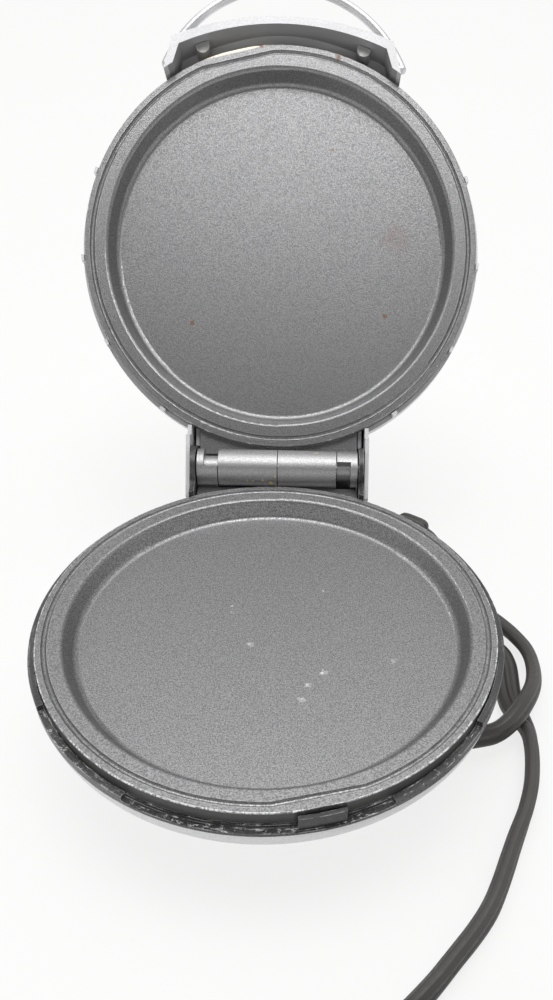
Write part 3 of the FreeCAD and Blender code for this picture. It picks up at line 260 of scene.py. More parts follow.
class GriddleMetalSettings(bpy.types.PropertyGroup):
    """Pin, studs, bail and small steel pieces."""
    wire: shade("Wire", "Plated wire of the bail", (0.78, 0.78, 0.79, 1))
    steel: shade("Steel", "Pin and screws", (0.60, 0.60, 0.61, 1))
    dull: shade("Dull metal", "Mottled studs", (0.50, 0.50, 0.49, 1))
    heated: shade("Heated steel", "Element sheath", (0.30, 0.27, 0.25, 1))
    sheet: shade("Sheet", "Reflector pans", (0.75, 0.75, 0.76, 1))
    brass: shade("Plug blades", "Plated brass", (0.74, 0.70, 0.60, 1))


class GriddleControlSettings(bpy.types.PropertyGroup):
    """Moulded controls inside the housing."""
    resin: shade("Resin", "Thermostat and fuse", (0.16, 0.12, 0.09, 1))
    terminal: shade("Terminals", "Terminal block", (0.70, 0.69, 0.65, 1))


class GriddleCordSettings(bpy.types.PropertyGroup):
    """Flat twin cord with its plug."""
    width: span("Width", "Across both cores", 0.0076)
    thickness: span("Thickness", "Through one core", 0.0038)
    black: shade("Sheath", "Soft black sheath", (0.046, 0.043, 0.041, 1))
    tie: shade("Tie", "Plastic of the coil's tie", (0.03, 0.03, 0.03, 1))
    ribs: IntProperty(name="Ribs", description="Fine ribs along the marked core", default=3, min=0, max=6)


class GriddleStageSettings(bpy.types.PropertyGroup):
    """Camera, lamps and floor."""
    place: FloatVectorProperty(name="Camera", description="Where the camera stands", size=3, unit="LENGTH",
                               default=(0.01183, -0.1777, 0.2105), subtype="TRANSLATION")
    yaw: angle("Yaw", "Camera turned to the right", 1.45)
    pitch: angle("Pitch", "Camera turned down", 46.92)
    roll: angle("Roll", "Camera rolled", 1.95)
    lens: FloatProperty(name="Lens", description="Focal length in millimetres", default=33.8, min=1)
    shift: FloatVectorProperty(name="Shift", description="Lens shift", size=2, default=(-0.0525, 0.171))
    floor: shade("Floor", "Floor and backdrop", (0.84, 0.84, 0.835, 1))
    overhead: power("Overhead lamp", "Power in watts", 3.0)
    behind: power("Back light", "Room light from behind and beside", 0.60)
    above: power("High light", "Room light from high up behind", 1.90)
    front: power("Front light", "Room light from in front", 0.08)
    low: power("Low light", "Room light near the floor all round", 0.80)


# Node helpers

def fill(tree, node, sockets):
    """Give a node's sockets values or links."""
    for key, value in sockets.items():
        if isinstance(value, bpy.types.NodeSocket):
            tree.links.new(value, node.inputs[key])
        else:
            node.inputs[key].default_value = value


def put(tree, kind, sockets=None, **options):
    """Add a node, set its options and fill its sockets."""
    node = tree.nodes.new(kind)
    for key, value in options.items():
        setattr(node, key, value)
    fill(tree, node, sockets or {})
    return node


def maths(tree, operation, a, b=0.0):
    """One sum, by its name."""
    return put(tree, "ShaderNodeMath", {0: a, 1: b}, operation=operation).outputs[0]


def fade(tree, value, low, high):
    """0 below low, 1 above high, smooth between; low may be the larger."""
    sockets = {"Value": value, "From Min": low, "From Max": high}
    return put(tree, "ShaderNodeMapRange", sockets, interpolation_type="SMOOTHSTEP").outputs[0]


def below(tree, value, edge, blur):
    """1 below an edge and 0 past it, blurred so far either way."""
    return fade(tree, value, edge + blur, edge - blur)


def past(tree, value, edge, blur):
    """0 below an edge and 1 past it, blurred so far either way."""
    return fade(tree, value, edge - blur, edge + blur)


def spread(tree, value, low, high):
    """A value from 0 to 1 carried to the range from low to high."""
    sockets = {"Value": value, "To Min": low, "To Max": high}
    return put(tree, "ShaderNodeMapRange", sockets).outputs[0]


def mixed(tree, amount, a, b):
    """Colour a where the amount is 0, b where it is 1."""
    return put(tree, "ShaderNodeMix", {0: amount, 6: a, 7: b}, data_type="RGBA").outputs[2]


def times(tree, *values):
    """Product of masks."""
    product = values[0]
    for value in values[1:]:
        product = maths(tree, "MULTIPLY", product, value)
    return product


def noise(tree, vector, scale, detail, roughness=0.5):
    """Smooth noise about 0.5."""
    sockets = {"Vector": vector, "Scale": scale, "Detail": detail, "Roughness": roughness}
    return put(tree, "ShaderNodeTexNoise", sockets).outputs[0]


def axes_of(tree, vector):
    """X, Y and Z of a vector."""
    return tuple(put(tree, "ShaderNodeSeparateXYZ", {0: vector}).outputs)


def measure(tree, operation, a, b=(0, 0, 0)):
    """One number from vectors, by the operation's name."""
    return put(tree, "ShaderNodeVectorMath", {0: a, 1: b}, operation=operation).outputs["Value"]


def from_axis(tree, first, second):
    """Distance from an axis, from the two coordinates across it."""
    return measure(tree, "LENGTH", put(tree, "ShaderNodeCombineXYZ", {0: first, 1: second}).outputs[0])


def shut_frame(tree, vector, centre=HINGE_PLACE):
    """A lid piece's vector, turned back to where the lid lies shut."""
    turn = {"Vector": vector, "Center": centre, "Axis": (1, 0, 0), "Angle": LID_OPENING}
    return put(tree, "ShaderNodeVectorRotate", turn, rotation_type="AXIS_ANGLE").outputs[0]


# Effects that several finishes share

def new_group(name, results, **defaults):
    """Empty shader group with named inputs and values as results: (tree, its inputs, its output node)."""
    tree = bpy.data.node_groups.new(name, "ShaderNodeTree")
    for key, default in {"vector": (0, 0, 0), **defaults}.items():
        kind = "NodeSocketVector" if isinstance(default, tuple) else "NodeSocketFloat"
        socket = tree.interface.new_socket(key.capitalize(), in_out="INPUT", socket_type=kind)
        socket.default_value = default
    for label in results:
        tree.interface.new_socket(label, in_out="OUTPUT", socket_type="NodeSocketFloat")
    return tree, tree.nodes.new("NodeGroupInput").outputs, tree.nodes.new("NodeGroupOutput")


def grain_group():
    """Fine grain at a given size, and broad patches of it: values about 0.5."""
    tree, given, out = new_group("Grain", ["Value", "Coarse"], size=0.001)
    patch_share = 0.045
    scale = maths(tree, "DIVIDE", 1.0, given["Size"])
    fine = noise(tree, given["Vector"], scale, 2.0, 0.6)
    broad = noise(tree, given["Vector"], maths(tree, "MULTIPLY", scale, patch_share), 3.0)
    fill(tree, out, {"Value": fade(tree, fine, 0.32, 0.68), "Coarse": fade(tree, broad, 0.3, 0.7)})
    return tree


def specks_group():
    """Scattered round specks: a mask that is 1 on a share of the cells."""
    tree, given, out = new_group("Specks", ["Mask"], size=0.001, share=0.2)
    scale = maths(tree, "DIVIDE", 0.5, given["Size"])
    cells = put(tree, "ShaderNodeTexVoronoi", {"Vector": given["Vector"], "Scale": scale}).outputs
    draw = put(tree, "ShaderNodeSeparateColor", {0: cells["Color"]}).outputs
    chosen = maths(tree, "LESS_THAN", draw[0], given["Share"])
    reach = spread(tree, draw[1], 0.12, 0.42)
    body = fade(tree, cells["Distance"], reach, maths(tree, "MULTIPLY", reach, 0.5))
    fill(tree, out, {"Mask": times(tree, chosen, body)})
    return tree


def edge_group():
    """Sharp edges, broken up: a mask from how far a rounded normal leaves the true one; it places edge wear
    and painted edge highlights.
    """
    tree, given, out = new_group("Edge wear and highlight", ["Mask"], width=0.0005, breaks=0.004)
    soft = put(tree, "ShaderNodeBevel", {"Radius": given["Width"]}, samples=4).outputs[0]
    hard = put(tree, "ShaderNodeNewGeometry").outputs["Normal"]
    edge = fade(tree, measure(tree, "DOT_PRODUCT", soft, hard), 0.985, 0.90)
    gaps = noise(tree, given["Vector"], maths(tree, "DIVIDE", 1.0, given["Breaks"]), 4.0, 0.7)
    fill(tree, out, {"Mask": times(tree, edge, fade(tree, gaps, 0.42, 0.58))})
    return tree


def mark_group():
    """One ragged mark at a place: 1 in its middle, 0 past its edge."""
    tree, given, out = new_group("Mark", ["Mask"], place=(0, 0, 0), size=0.001, ragged=0.6)
    away = measure(tree, "DISTANCE", given["Vector"], given["Place"])
    ripple = noise(tree, given["Vector"], maths(tree, "DIVIDE", 1.2, given["Size"]), 3.0)
    swing = times(tree, maths(tree, "SUBTRACT", ripple, 0.5), given["Ragged"], 3.0)
    reach = maths(tree, "ADD", maths(tree, "DIVIDE", away, given["Size"]), swing)
    fill(tree, out, {"Mask": fade(tree, reach, 1.0, 0.6)})
    return tree


def residue_group():
    """Ragged dried patches, broken into crumbs: more of them as the amount grows."""
    tree, given, out = new_group("Residue", ["Mask"], size=0.002, amount=0.5)
    scale = maths(tree, "DIVIDE", 1.0, given["Size"])
    patches = noise(tree, given["Vector"], scale, 6.0, 0.72)
    crumbs = noise(tree, given["Vector"], maths(tree, "MULTIPLY", scale, 5.0), 2.0)
    level = maths(tree, "SUBTRACT", 0.70, maths(tree, "MULTIPLY", given["Amount"], 0.25))
    body = fade(tree, patches, level, maths(tree, "ADD", level, 0.05))
    fill(tree, out, {"Mask": times(tree, body, fade(tree, crumbs, 0.35, 0.60))})
    return tree


GROUP_MAKERS = {
    "Grain": grain_group,
    "Specks": specks_group,
    "Edge wear and highlight": edge_group,
    "Mark": mark_group,
    "Residue": residue_group,
}


def effect(tree, name, **sockets):
    """Place a shared effect in a material, building it the first time."""
    node = tree.nodes.new("ShaderNodeGroup")
    node.node_tree = bpy.data.node_groups.get(name) or GROUP_MAKERS[name]()
    fill(tree, node, {key.capitalize(): value for key, value in sockets.items()})
    return node.outputs


# Finishes

def new_finish(name, **constants):
    """New material with constants on its shader: (material, node tree, shader, object coordinates)."""
    material = bpy.data.materials.new(name)
    material.use_nodes = True
    tree = material.node_tree
    shader = tree.nodes["Principled BSDF"]
    feed(tree, shader, **constants)
    coords = put(tree, "ShaderNodeTexCoord").outputs["Object"]
    return material, tree, shader, coords


def feed(tree, shader, **sockets):
    """Fill the shader's sockets: base_color stands for Base Color."""
    for key, value in sockets.items():
        label = key.replace("_", " ").title().replace("Ior", "IOR")
        fill(tree, shader, {label: value})


def bumps(tree, shader, height, depth, strength):
    """Bump from a height between 0 and 1, depth metres high."""
    sockets = {"Height": height, "Distance": depth, "Strength": strength}
    feed(tree, shader, normal=put(tree, "ShaderNodeBump", sockets).outputs[0])


def toned(tint, factor, lift=0.0):
    """A colour made lighter or darker."""
    return tuple(channel * factor + lift for channel in tint[:3]) + (1,)


def paint(material, *names):
    """Give CAD nodes a material."""
    for name in names:
        mesh = NODES[name].data
        mesh.materials.clear()
        mesh.materials.append(material)


def coated_plate(name, lid, marks):
    """Speckled coating with a chipped lip, pale sharp edges that are partly wear and partly a painted
    highlight, painted shade on the side under the lip, knuckles lighter from burnishing and a painted
    highlight, and marks, placed with the lid shut.
    """
    look = bpy.context.scene.griddle_plates
    material, tree, shader, coords = new_finish(name)
    if lid:
        coords = shut_frame(tree, coords)
    x, y, z = axes_of(tree, coords)
    radius = from_axis(tree, x, y)
    depth = maths(tree, "ABSOLUTE", maths(tree, "SUBTRACT", z, UPPER_LIP if lid else LOWER_LIP))
    from_hinge = from_axis(tree, maths(tree, "SUBTRACT", y, HINGE_PLACE[1]),
                           maths(tree, "SUBTRACT", z, HINGE_PLACE[2]))

    grain = effect(tree, "Grain", vector=coords, size=look.grain)["Value"]
    level = spread(tree, grain, 0.14, 0.86) if lid else grain
    colour = mixed(tree, level, look.dark, look.light)
    flecks = effect(tree, "Specks", vector=coords, size=0.28 * MM, share=0.12)["Mask"]
    colour = mixed(tree, times(tree, flecks, 0.35), colour, look.worn_and_lit)

    # Painted highlight: the hinge barrels get a lighter colour, partly for burnishing and partly standing
    # in for their highlight.
    knuckle = below(tree, from_hinge, KNUCKLE_RADIUS, 0.15 * MM)
    rubbed_and_lit = mixed(tree, grain, look.light, look.rubbed_and_lit)
    colour = mixed(tree, times(tree, knuckle, 0.85), colour, rubbed_and_lit)

    # Painted shade: the casting's side under the lip is darkened, partly for its own dark colour and partly
    # for the shade it stands in.
    shaded_flank = times(tree, below(tree, y, HINGE_SIDE, 1.0 * MM),
                  fade(tree, radius, LIP_RADIUS - 0.15 * MM, LIP_RADIUS),
                  fade(tree, depth, 0.25 * MM, 0.5 * MM))
    colour = mixed(tree, shaded_flank, colour, look.shaded_flank)
    # Edge wear and painted highlight: sharp edges of the plate are lightened in broken lines, standing in
    # partly for the light that catches them.
    worn_and_lit = effect(tree, "Edge wear and highlight", vector=coords, width=0.5 * MM, breaks=4.0 * MM)["Mask"]
    colour = mixed(tree, times(tree, worn_and_lit, 0.75), colour, look.worn_and_lit)

    chips = effect(tree, "Residue", vector=coords, size=3.0 * MM, amount=0.6 if lid else 1.1)["Mask"]
    lip = times(tree, fade(tree, radius, LIP_RADIUS - 0.30 * MM, LIP_RADIUS - 0.15 * MM),
                fade(tree, radius, LIP_RADIUS + 0.4 * MM, LIP_RADIUS + 0.2 * MM),
                fade(tree, depth, 0.45 * MM, 0.25 * MM), chips)
    colour = mixed(tree, lip, colour, look.bare if lid else look.chip)
    if lid:
        facing = (math.cos(GATE_BEARING), math.sin(GATE_BEARING), 0)
        gate = past(tree, measure(tree, "DOT_PRODUCT", coords, facing), GATE_REACH, 0.3 * MM)
        colour = mixed(tree, gate, colour, look.bare)

    tints = {"chip": look.chip, "rust": look.rust, "soil": look.soil}
    cover = maths(tree, "MAXIMUM", lip, shaded_flank)
    for kind, place, size, ragged, strength in marks:
        spot = effect(tree, "Mark", vector=coords, place=Vector(place) * MM, size=size * MM, ragged=ragged)
        mark = times(tree, spot["Mask"], strength)
        colour = mixed(tree, mark, colour, tints[kind])
        cover = maths(tree, "MAXIMUM", cover, mark)

    rough = maths(tree, "ADD", spread(tree, grain, 0.41, 0.31), times(tree, knuckle, 0.06))
    feed(tree, shader, base_color=colour, roughness=rough, metallic=spread(tree, cover, 0.8, 0.0))
    bumps(tree, shader, grain, 0.03 * MM, 0.5)
    return material


def handle_pocket_shade(tree, coords):
    """Mask of the hollow under the handle, apart from what faces up when the lid is shut: where painted
    shade goes.
    """
    x, y, z = axes_of(tree, shut_frame(tree, coords))
    normal = put(tree, "ShaderNodeTexCoord").outputs["Normal"]
    rise = axes_of(tree, shut_frame(tree, normal, (0, 0, 0)))[2]
    reach = from_axis(tree, x, maths(tree, "SUBTRACT", y, POCKET_CENTRE))
    flare = maths(tree, "SUBTRACT", maths(tree, "ABSOLUTE", x), times(tree, y, POCKET_FLARE))
    return times(tree, below(tree, reach, POCKET_RADIUS, 0.05 * MM),
                 below(tree, flare, POCKET_HALF_WIDTH, 0.05 * MM), below(tree, y, POCKET_BACK, 0.5 * MM),
                 past(tree, z, POCKET_LOW, 0.05 * MM), below(tree, z, POCKET_HIGH, 0.1 * MM),
                 below(tree, rise, 0.30, 0.05))


def silver_plastic(name, lid):
    """Metallic plastic with fine flakes, duller on the lid, where the hollow under the handle gets painted
    shade.
    """
    look = bpy.context.scene.griddle_shells
    material, tree, shader, coords = new_finish(name, metallic=0.16 if lid else 0.6, coat_weight=0.1,
                                                coat_roughness=0.35)
    grain = effect(tree, "Grain", vector=coords, size=look.flake)
    colour = mixed(tree, grain["Value"], look.shadow, look.silver)
    colour = mixed(tree, times(tree, grain["Coarse"], 0.25), colour, look.silver)
    if lid:
        # Painted shade in the hollow under the handle.
        colour = mixed(tree, handle_pocket_shade(tree, coords), colour, look.inside)
    feed(tree, shader, base_color=colour, roughness=spread(tree, grain["Coarse"], 0.38, 0.48))
    bumps(tree, shader, grain["Value"], 0.01 * MM, 0.3)
    return material


def ring_plastic(name):
    """Black plastic with a painted highlight along its sharp edges, broken up, and dried residue on what
    faces up in front.
    """
    look = bpy.context.scene.griddle_trim
    material, tree, shader, coords = new_finish(name, specular_ior_level=0.5)
    grain = effect(tree, "Grain", vector=coords, size=0.7 * MM)
    x, y, z = axes_of(tree, coords)
    arc = times(tree, maths(tree, "ARCTAN2", y, x), 10.0 * MM)
    around = put(tree, "ShaderNodeCombineXYZ", {0: arc, 1: from_axis(tree, x, y), 2: z}).outputs[0]
    streaks = effect(tree, "Residue", vector=around, size=1.1 * MM, amount=0.55)["Mask"]
    patches = effect(tree, "Residue", vector=coords, size=1.7 * MM, amount=0.55)["Mask"]
    upward = axes_of(tree, put(tree, "ShaderNodeTexCoord").outputs["Normal"])[2]
    residue = times(tree, past(tree, upward, 0.7, 0.2), below(tree, z, LEDGE_TOP, 0.15 * MM),
                    below(tree, y, LEDGE_FRONT, 7.5 * MM), maths(tree, "MAXIMUM", streaks, patches))
    # Painted highlight: the ring's sharp edges are lightened toward the residue colour in broken lines.
    worn_and_lit = effect(tree, "Edge wear and highlight", vector=coords, width=0.3 * MM, breaks=6.0 * MM)["Mask"]
    colour = mixed(tree, grain["Coarse"], look.black, look.faded)
    for mask in (times(tree, streaks, 0.10), times(tree, worn_and_lit, 0.6), residue):
        colour = mixed(tree, mask, colour, look.dust_and_highlight)
    feed(tree, shader, base_color=colour, roughness=spread(tree, grain["Value"], 0.24, 0.38))
    bumps(tree, shader, grain["Value"], 0.02 * MM, 0.3)
    return material


def drawn_metal(name, tint, grain_size, rough, metallic=1.0):
    """Plain metal with faint grain and stains."""
    material, tree, shader, coords = new_finish(name, metallic=metallic)
    grain = effect(tree, "Grain", vector=coords, size=grain_size)
    colour = mixed(tree, times(tree, grain["Coarse"], 0.6), tint, toned(tint, 0.6))
    feed(tree, shader, base_color=colour, roughness=spread(tree, grain["Value"], *rough))
    bumps(tree, shader, grain["Value"], 0.02 * MM, 0.3)
    return material


def moulded(name, tint, grain_size, rough):
    """Plain moulded plastic or rubber with a fine skin."""
    material, tree, shader, coords = new_finish(name)
    grain = effect(tree, "Grain", vector=coords, size=grain_size)
    colour = mixed(tree, times(tree, grain["Coarse"], 0.5), tint, toned(tint, 1.5, 0.01))
    feed(tree, shader, base_color=colour, roughness=spread(tree, grain["Value"], *rough))
    bumps(tree, shader, grain["Value"], 0.03 * MM, 0.4)
    return material


# Pieces

def new_piece(name, rings, material):
    """Smooth closed skin through rings of equal count, in the shared frame, that rides on the base."""
    count = len(rings[0])
    points = [point for ring in rings for point in ring]
    faces = []
    for i in range(len(rings) - 1):
        for j in range(count):
            k = (j + 1) % count
            faces.append((i * count + j, i * count + k, (i + 1) * count + k, (i + 1) * count + j))
    faces.append(tuple(reversed(range(count))))
    faces.append(tuple(range(len(points) - count, len(points))))
    mesh = bpy.data.meshes.new(name)
    mesh.from_pydata(points, [], faces)
    mesh.validate()
    mesh.update()
    mesh.polygons.foreach_set("use_smooth", [True] * len(mesh.polygons))
    mesh.materials.append(material)
    piece = bpy.data.objects.new(name, mesh)
    bpy.context.scene.collection.objects.link(piece)
    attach(piece, "base")
    return piece


def coil_point(turn):
    """Middle of the coil's cord after so many turns, inwards below and outwards above."""
    inward = turn if turn <= COIL_TURNS else 2 * COIL_TURNS - turn
    radius = COIL_OUTER - COIL_PITCH * inward
    climb = min(max((turn - COIL_TURNS) / COIL_CLIMB + 0.5, 0), 1)
    bearing = math.radians(COIL_START + 360 * turn)
    x = COIL_CENTRE[0] + radius * math.cos(bearing)
    y = COIL_CENTRE[1] + radius * math.sin(bearing)
    return x, y, COIL_HEIGHT + COIL_PITCH * climb


def cord_stations():
    """All control points of the cord in millimetres, with their leans."""
    count = int(2 * COIL_TURNS * COIL_STEPS)
    coil = [coil_point(i / COIL_STEPS) + (COIL_LEAN,) for i in range(count + 1)]
    first, last = coil[0], coil[-1]
    coming = (first[0] + COIL_EASE, first[1] + COIL_EASE, COIL_HEIGHT, COIL_LEAN)
    going = (last[0] - COIL_EASE, last[1] + COIL_EASE, last[2], COIL_LEAN)
    return CORD_ROUTE + [coming] + coil + [going] + PLUG_LEAD


def cord_line(stations):
    """Smooth line through the stations as points in metres, read from one open spline."""
    curve = bpy.data.curves.new("Cord_route", "CURVE")
    curve.dimensions = "3D"
    spline = curve.splines.new("NURBS")
    spline.points.add(len(stations) - 1)
    for point, station in zip(spline.points, stations):
        point.co = (station[0] * MM, station[1] * MM, station[2] * MM, 1)
    spline.order_u = 3
    spline.use_endpoint_u = True
    spline.resolution_u = LINE_STEPS
    holder = bpy.data.objects.new("Cord_route", curve)
    bpy.context.scene.collection.objects.link(holder)
    bpy.context.view_layer.update()
    line = bpy.data.meshes.new_from_object(holder)
    points = [v.co.copy() for v in line.vertices]
    bpy.data.meshes.remove(line)
    bpy.data.objects.remove(holder)
    bpy.data.curves.remove(curve)
    return points


def lean_at(stations, share):
    """Lean of the cord in radians after a share of its line, between those of its stations."""
    place = 0.5 + share * (len(stations) - 2)
    near = int(place)
    before, after = stations[near][3], stations[near + 1][3]
    return math.radians(before + (after - before) * (place - near))


def cord_section(width, thickness, ribs):
    """Outline of the flat twin cord: two cores with a web between, one of them ribbed."""
    half = width / 2
    core = thickness / 2
    web = core * WEB_SHARE
    top = []
    for i in range(SECTION_STEPS + 1):
        across = -half * math.cos(math.pi * i / SECTION_STEPS)
        lobe = math.sqrt(max(core ** 2 - (abs(across) - (half - core)) ** 2, 0))
        height = lobe if abs(across) > half - core else max(lobe, web)
        if ribs and across > RIB_START * half:
            ridge = math.cos(2 * math.pi * ribs * (half - across) / half)
            height += RIB_SHARE * core * max(ridge, 0)
        top.append((across, height))
    bottom = [(across, -height) for across, height in reversed(top[1:-1])]
    return top + bottom


class GRIDDLE_OT_cord(bpy.types.Operator):
    """Lay the flat cord from its relief round to the coil and the plug"""
    bl_idname = "griddle.cord"
    bl_label = "Cord"

    def execute(self, context):
        look = context.scene.griddle_cord
        stations = cord_stations()
        line = cord_line(stations)
        section = cord_section(look.width, look.thickness, look.ribs)
        rings = []
        last = len(line) - 1
        for i, point in enumerate(line):
            ahead = (line[min(i + 1, last)] - line[max(i - 1, 0)]).normalized()
            side = ahead.cross(UP).normalized()
            up = side.cross(ahead)
            lean = lean_at(stations, i / last)
            broad = side * math.cos(lean) + up * math.sin(lean)
            thick = up * math.cos(lean) - side * math.sin(lean)
            rings.append([point + broad * a + thick * b for a, b in section])
        sheath = moulded("Cord_sheath", look.black, 1.2 * MM, (0.42, 0.55))
        piece = new_piece("Flat_cord", rings, sheath)
        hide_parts("cord", "cord_coil", "plug_lead")
        return {"FINISHED"}


def oblong_ring(place, side, up, width, height, square):
    """Ring of points round a rounded oblong, squarer as the power grows."""
    ring = []
    for i in range(OBLONG_STEPS):
        turn = 2 * math.pi * i / OBLONG_STEPS
        c, s = math.cos(turn), math.sin(turn)
        a = math.copysign(abs(c) ** (2 / square), c) * width / 2
        b = math.copysign(abs(s) ** (2 / square), s) * height / 2
        ring.append(place + side * a + up * b)
    return ring


def lofted(place, bearing, slope, sections):
    """Rings along a way from (distance, width, height, squareness) sections in millimetres."""
    way = Vector((math.cos(slope) * math.cos(bearing), math.cos(slope) * math.sin(bearing),
                  -math.sin(slope)))
    side = way.cross(UP).normalized()
    up = side.cross(way)
    return [oblong_ring(place + way * (along * MM), side, up, width * MM, height * MM, square)
            for along, width, height, square in sections]


class GRIDDLE_OT_relief(bpy.types.Operator):
    """Make the ribbed strain relief where the cord leaves the base"""
    bl_idname = "griddle.relief"
    bl_label = "Strain relief"

    def execute(self, context):
        look = context.scene.griddle_cord
        collar = [(-8.0, 12.2, 8.8, RELIEF_SQUARE), (-6.5, 12.2, 8.8, RELIEF_SQUARE)]
        root = [(-6.4, 10.9, 7.5, RELIEF_SQUARE), (3.0, 10.7, 7.4, RELIEF_SQUARE)]
        ribs = []
        for i in range(RELIEF_RIBS):
            start = RELIEF_FIRST_RIB + RELIEF_PITCH * i
            width = RELIEF_WIDTH + RELIEF_WIDENING * start / RELIEF_LENGTH
            height = RELIEF_HEIGHT + RELIEF_RISE * start / RELIEF_LENGTH
            ribs += [(start + along, width - cut, height - cut, RELIEF_SQUARE) for along, cut in RELIEF_RIB]
        end = [(RELIEF_LENGTH - 0.4, 11.0, 8.3, RELIEF_SQUARE), (RELIEF_LENGTH, 10.4, 7.7, RELIEF_SQUARE)]
        mouth = [(RELIEF_LENGTH, 7.8, 4.2, MOUTH_SQUARE), (RELIEF_LENGTH - 0.8, 7.6, 4.0, MOUTH_SQUARE)]
        rings = lofted(ENTRY_PLACE, ENTRY_BEARING, ENTRY_SLOPE, collar + root + ribs + end + mouth)
        rubber = moulded("Relief_rubber", look.black, 1.0 * MM, (0.45, 0.6))
        piece = new_piece("Relief_ribbed", rings, rubber)
        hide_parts("strain_relief")
        return {"FINISHED"}


def ribbed(count, first, pitch, growth, profile, square):
    """Sections of like ribs in a row, each larger by the growth than the one before."""
    return [(first + pitch * i + along, width + growth * i, height + growth * i, square)
            for i in range(count) for along, width, height in profile]


class GRIDDLE_OT_plug(bpy.types.Operator):
    """Make the moulded plug with its grip and neck"""
    bl_idname = "griddle.plug"
    bl_label = "Plug"

    def execute(self, context):
        look = context.scene.griddle_cord
        metal = context.scene.griddle_metal
        mouth = [(0.2, 7.9, 4.2, MOUTH_SQUARE), (0.2, 9.4, 6.6, NECK_SQUARE)]
        neck = ribbed(NECK_RIBS, NECK_FIRST_RIB, NECK_PITCH, NECK_GROWTH, NECK_RIB, NECK_SQUARE)
        shoulder = [(7.6, 13.0, 10.2, NECK_SQUARE), (9.2, 17.4, 13.6, 3.6), (11.5, 19.6, 15.4, 3.8),
                    (14.0, 20.2, 16.0, GRIP_SQUARE)]
        grip = ribbed(GRIP_RIBS, GRIP_FIRST_RIB, GRIP_PITCH, 0.0, GRIP_RIB, GRIP_SQUARE)
        head = [(27.5, 20.6, 16.3, GRIP_SQUARE), (29.5, 21.8, 16.7, 4.4), (34.2, 21.9, 16.7, HEAD_SQUARE),
                (34.8, 21.3, 16.1, HEAD_SQUARE), (35.0, 20.4, 15.2, HEAD_SQUARE)]
        rings = lofted(PLUG_PLACE, PLUG_BEARING, 0.0, mouth + neck + shoulder + grip + head)
        rubber = moulded("Plug_rubber", look.black, 1.0 * MM, (0.42, 0.58))
        piece = new_piece("Plug_moulding", rings, rubber)
        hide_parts("plug_body")
        paint(drawn_metal("Plug_blade_plate", metal.brass, 1.0 * MM, (0.22, 0.34)), "plug_blades")
        paint(moulded("Tie_plastic", look.tie, 1.0 * MM, (0.35, 0.5)), "coil_tie")
        return {"FINISHED"}


class GRIDDLE_OT_plates(bpy.types.Operator):
    """Coat both cooking plates"""
    bl_idname = "griddle.plates"
    bl_label = "Cooking plates"

    def execute(self, context):
        paint(coated_plate("Lower_coating", False, LOWER_MARKS), "lower_plate")
        paint(coated_plate("Upper_coating", True, UPPER_MARKS), "upper_plate")
        return {"FINISHED"}


class GRIDDLE_OT_shells(bpy.types.Operator):
    """Finish the silver shells and the handle"""
    bl_idname = "griddle.shells"
    bl_label = "Silver shells"

    def execute(self, context):
        paint(silver_plastic("Silver_plastic", False), "base_shell")
        paint(silver_plastic("Silver_lid", True), "lid_shell", "lid_handle")
        return {"FINISHED"}


class GRIDDLE_OT_trim(bpy.types.Operator):
    """Finish the black ring and the rubber feet"""
    bl_idname = "griddle.trim"
    bl_label = "Black trim"

    def execute(self, context):
        look = context.scene.griddle_trim
        paint(ring_plastic("Ring_plastic"), "base_ring")
        paint(moulded("Foot_rubber", look.feet, 1.0 * MM, (0.6, 0.75)), "front_feet", "rear_feet")
        return {"FINISHED"}


class GRIDDLE_OT_metal(bpy.types.Operator):
    """Finish the hinge pin, the studs, the wire bail and the screws"""
    bl_idname = "griddle.metal"
    bl_label = "Pin, studs and bail"

    def execute(self, context):
        look = context.scene.griddle_metal
        paint(drawn_metal("Wire_plate", look.wire, 0.8 * MM, (0.40, 0.52)), "bail")
        paint(drawn_metal("Pin_steel", look.steel, 0.6 * MM, (0.25, 0.4)), "hinge_pin", "base_screws")
        paint(drawn_metal("Stud_metal", look.dull, 1.0 * MM, (0.4, 0.6), metallic=0.6), "handle_studs")
        return {"FINISHED"}


class GRIDDLE_OT_works(bpy.types.Operator):
    """Finish the heating rings, reflector pans and controls inside"""
    bl_idname = "griddle.works"
    bl_label = "Inner works"

    def execute(self, context):
        metal = context.scene.griddle_metal
        look = context.scene.griddle_controls
        sheath = drawn_metal("Element_sheath", metal.heated, 0.8 * MM, (0.4, 0.6))
        paint(sheath, "lower_element", "upper_element")
        sheet = drawn_metal("Reflector_sheet", metal.sheet, 1.5 * MM, (0.25, 0.4))
        paint(sheet, "lower_reflector", "upper_reflector")
        paint(moulded("Control_resin", look.resin, 1.0 * MM, (0.4, 0.6)), "thermostat", "thermal_fuse")
        paint(moulded("Terminal_resin", look.terminal, 1.2 * MM, (0.4, 0.6)), "terminal_block")
        return {"FINISHED"}


# Stage

def set_camera(look):
    """Camera from its place, yaw, pitch and roll."""
    gaze = Vector((math.sin(look.yaw) * math.cos(look.pitch), math.cos(look.yaw) * math.cos(look.pitch),
                   -math.sin(look.pitch)))
    across = Vector((math.cos(look.yaw), -math.sin(look.yaw), 0))
    upright = across.cross(gaze)
    c, s = math.cos(look.roll), math.sin(look.roll)
    right = across * c + upright * s
    up = upright * c - across * s
    camera = bpy.data.cameras.new("Camera")
    camera.sensor_width = SENSOR_WIDTH
    camera.lens = look.lens
    camera.shift_x, camera.shift_y = look.shift
    camera.clip_start = NEAREST_SEEN
    holder = bpy.data.objects.new("Camera", camera)
    bpy.context.scene.collection.objects.link(holder)
    turn = Matrix((right, up, -gaze)).transposed().to_4x4()
    holder.matrix_world = Matrix.Translation(Vector(look.place)) @ turn
    bpy.context.scene.camera = holder


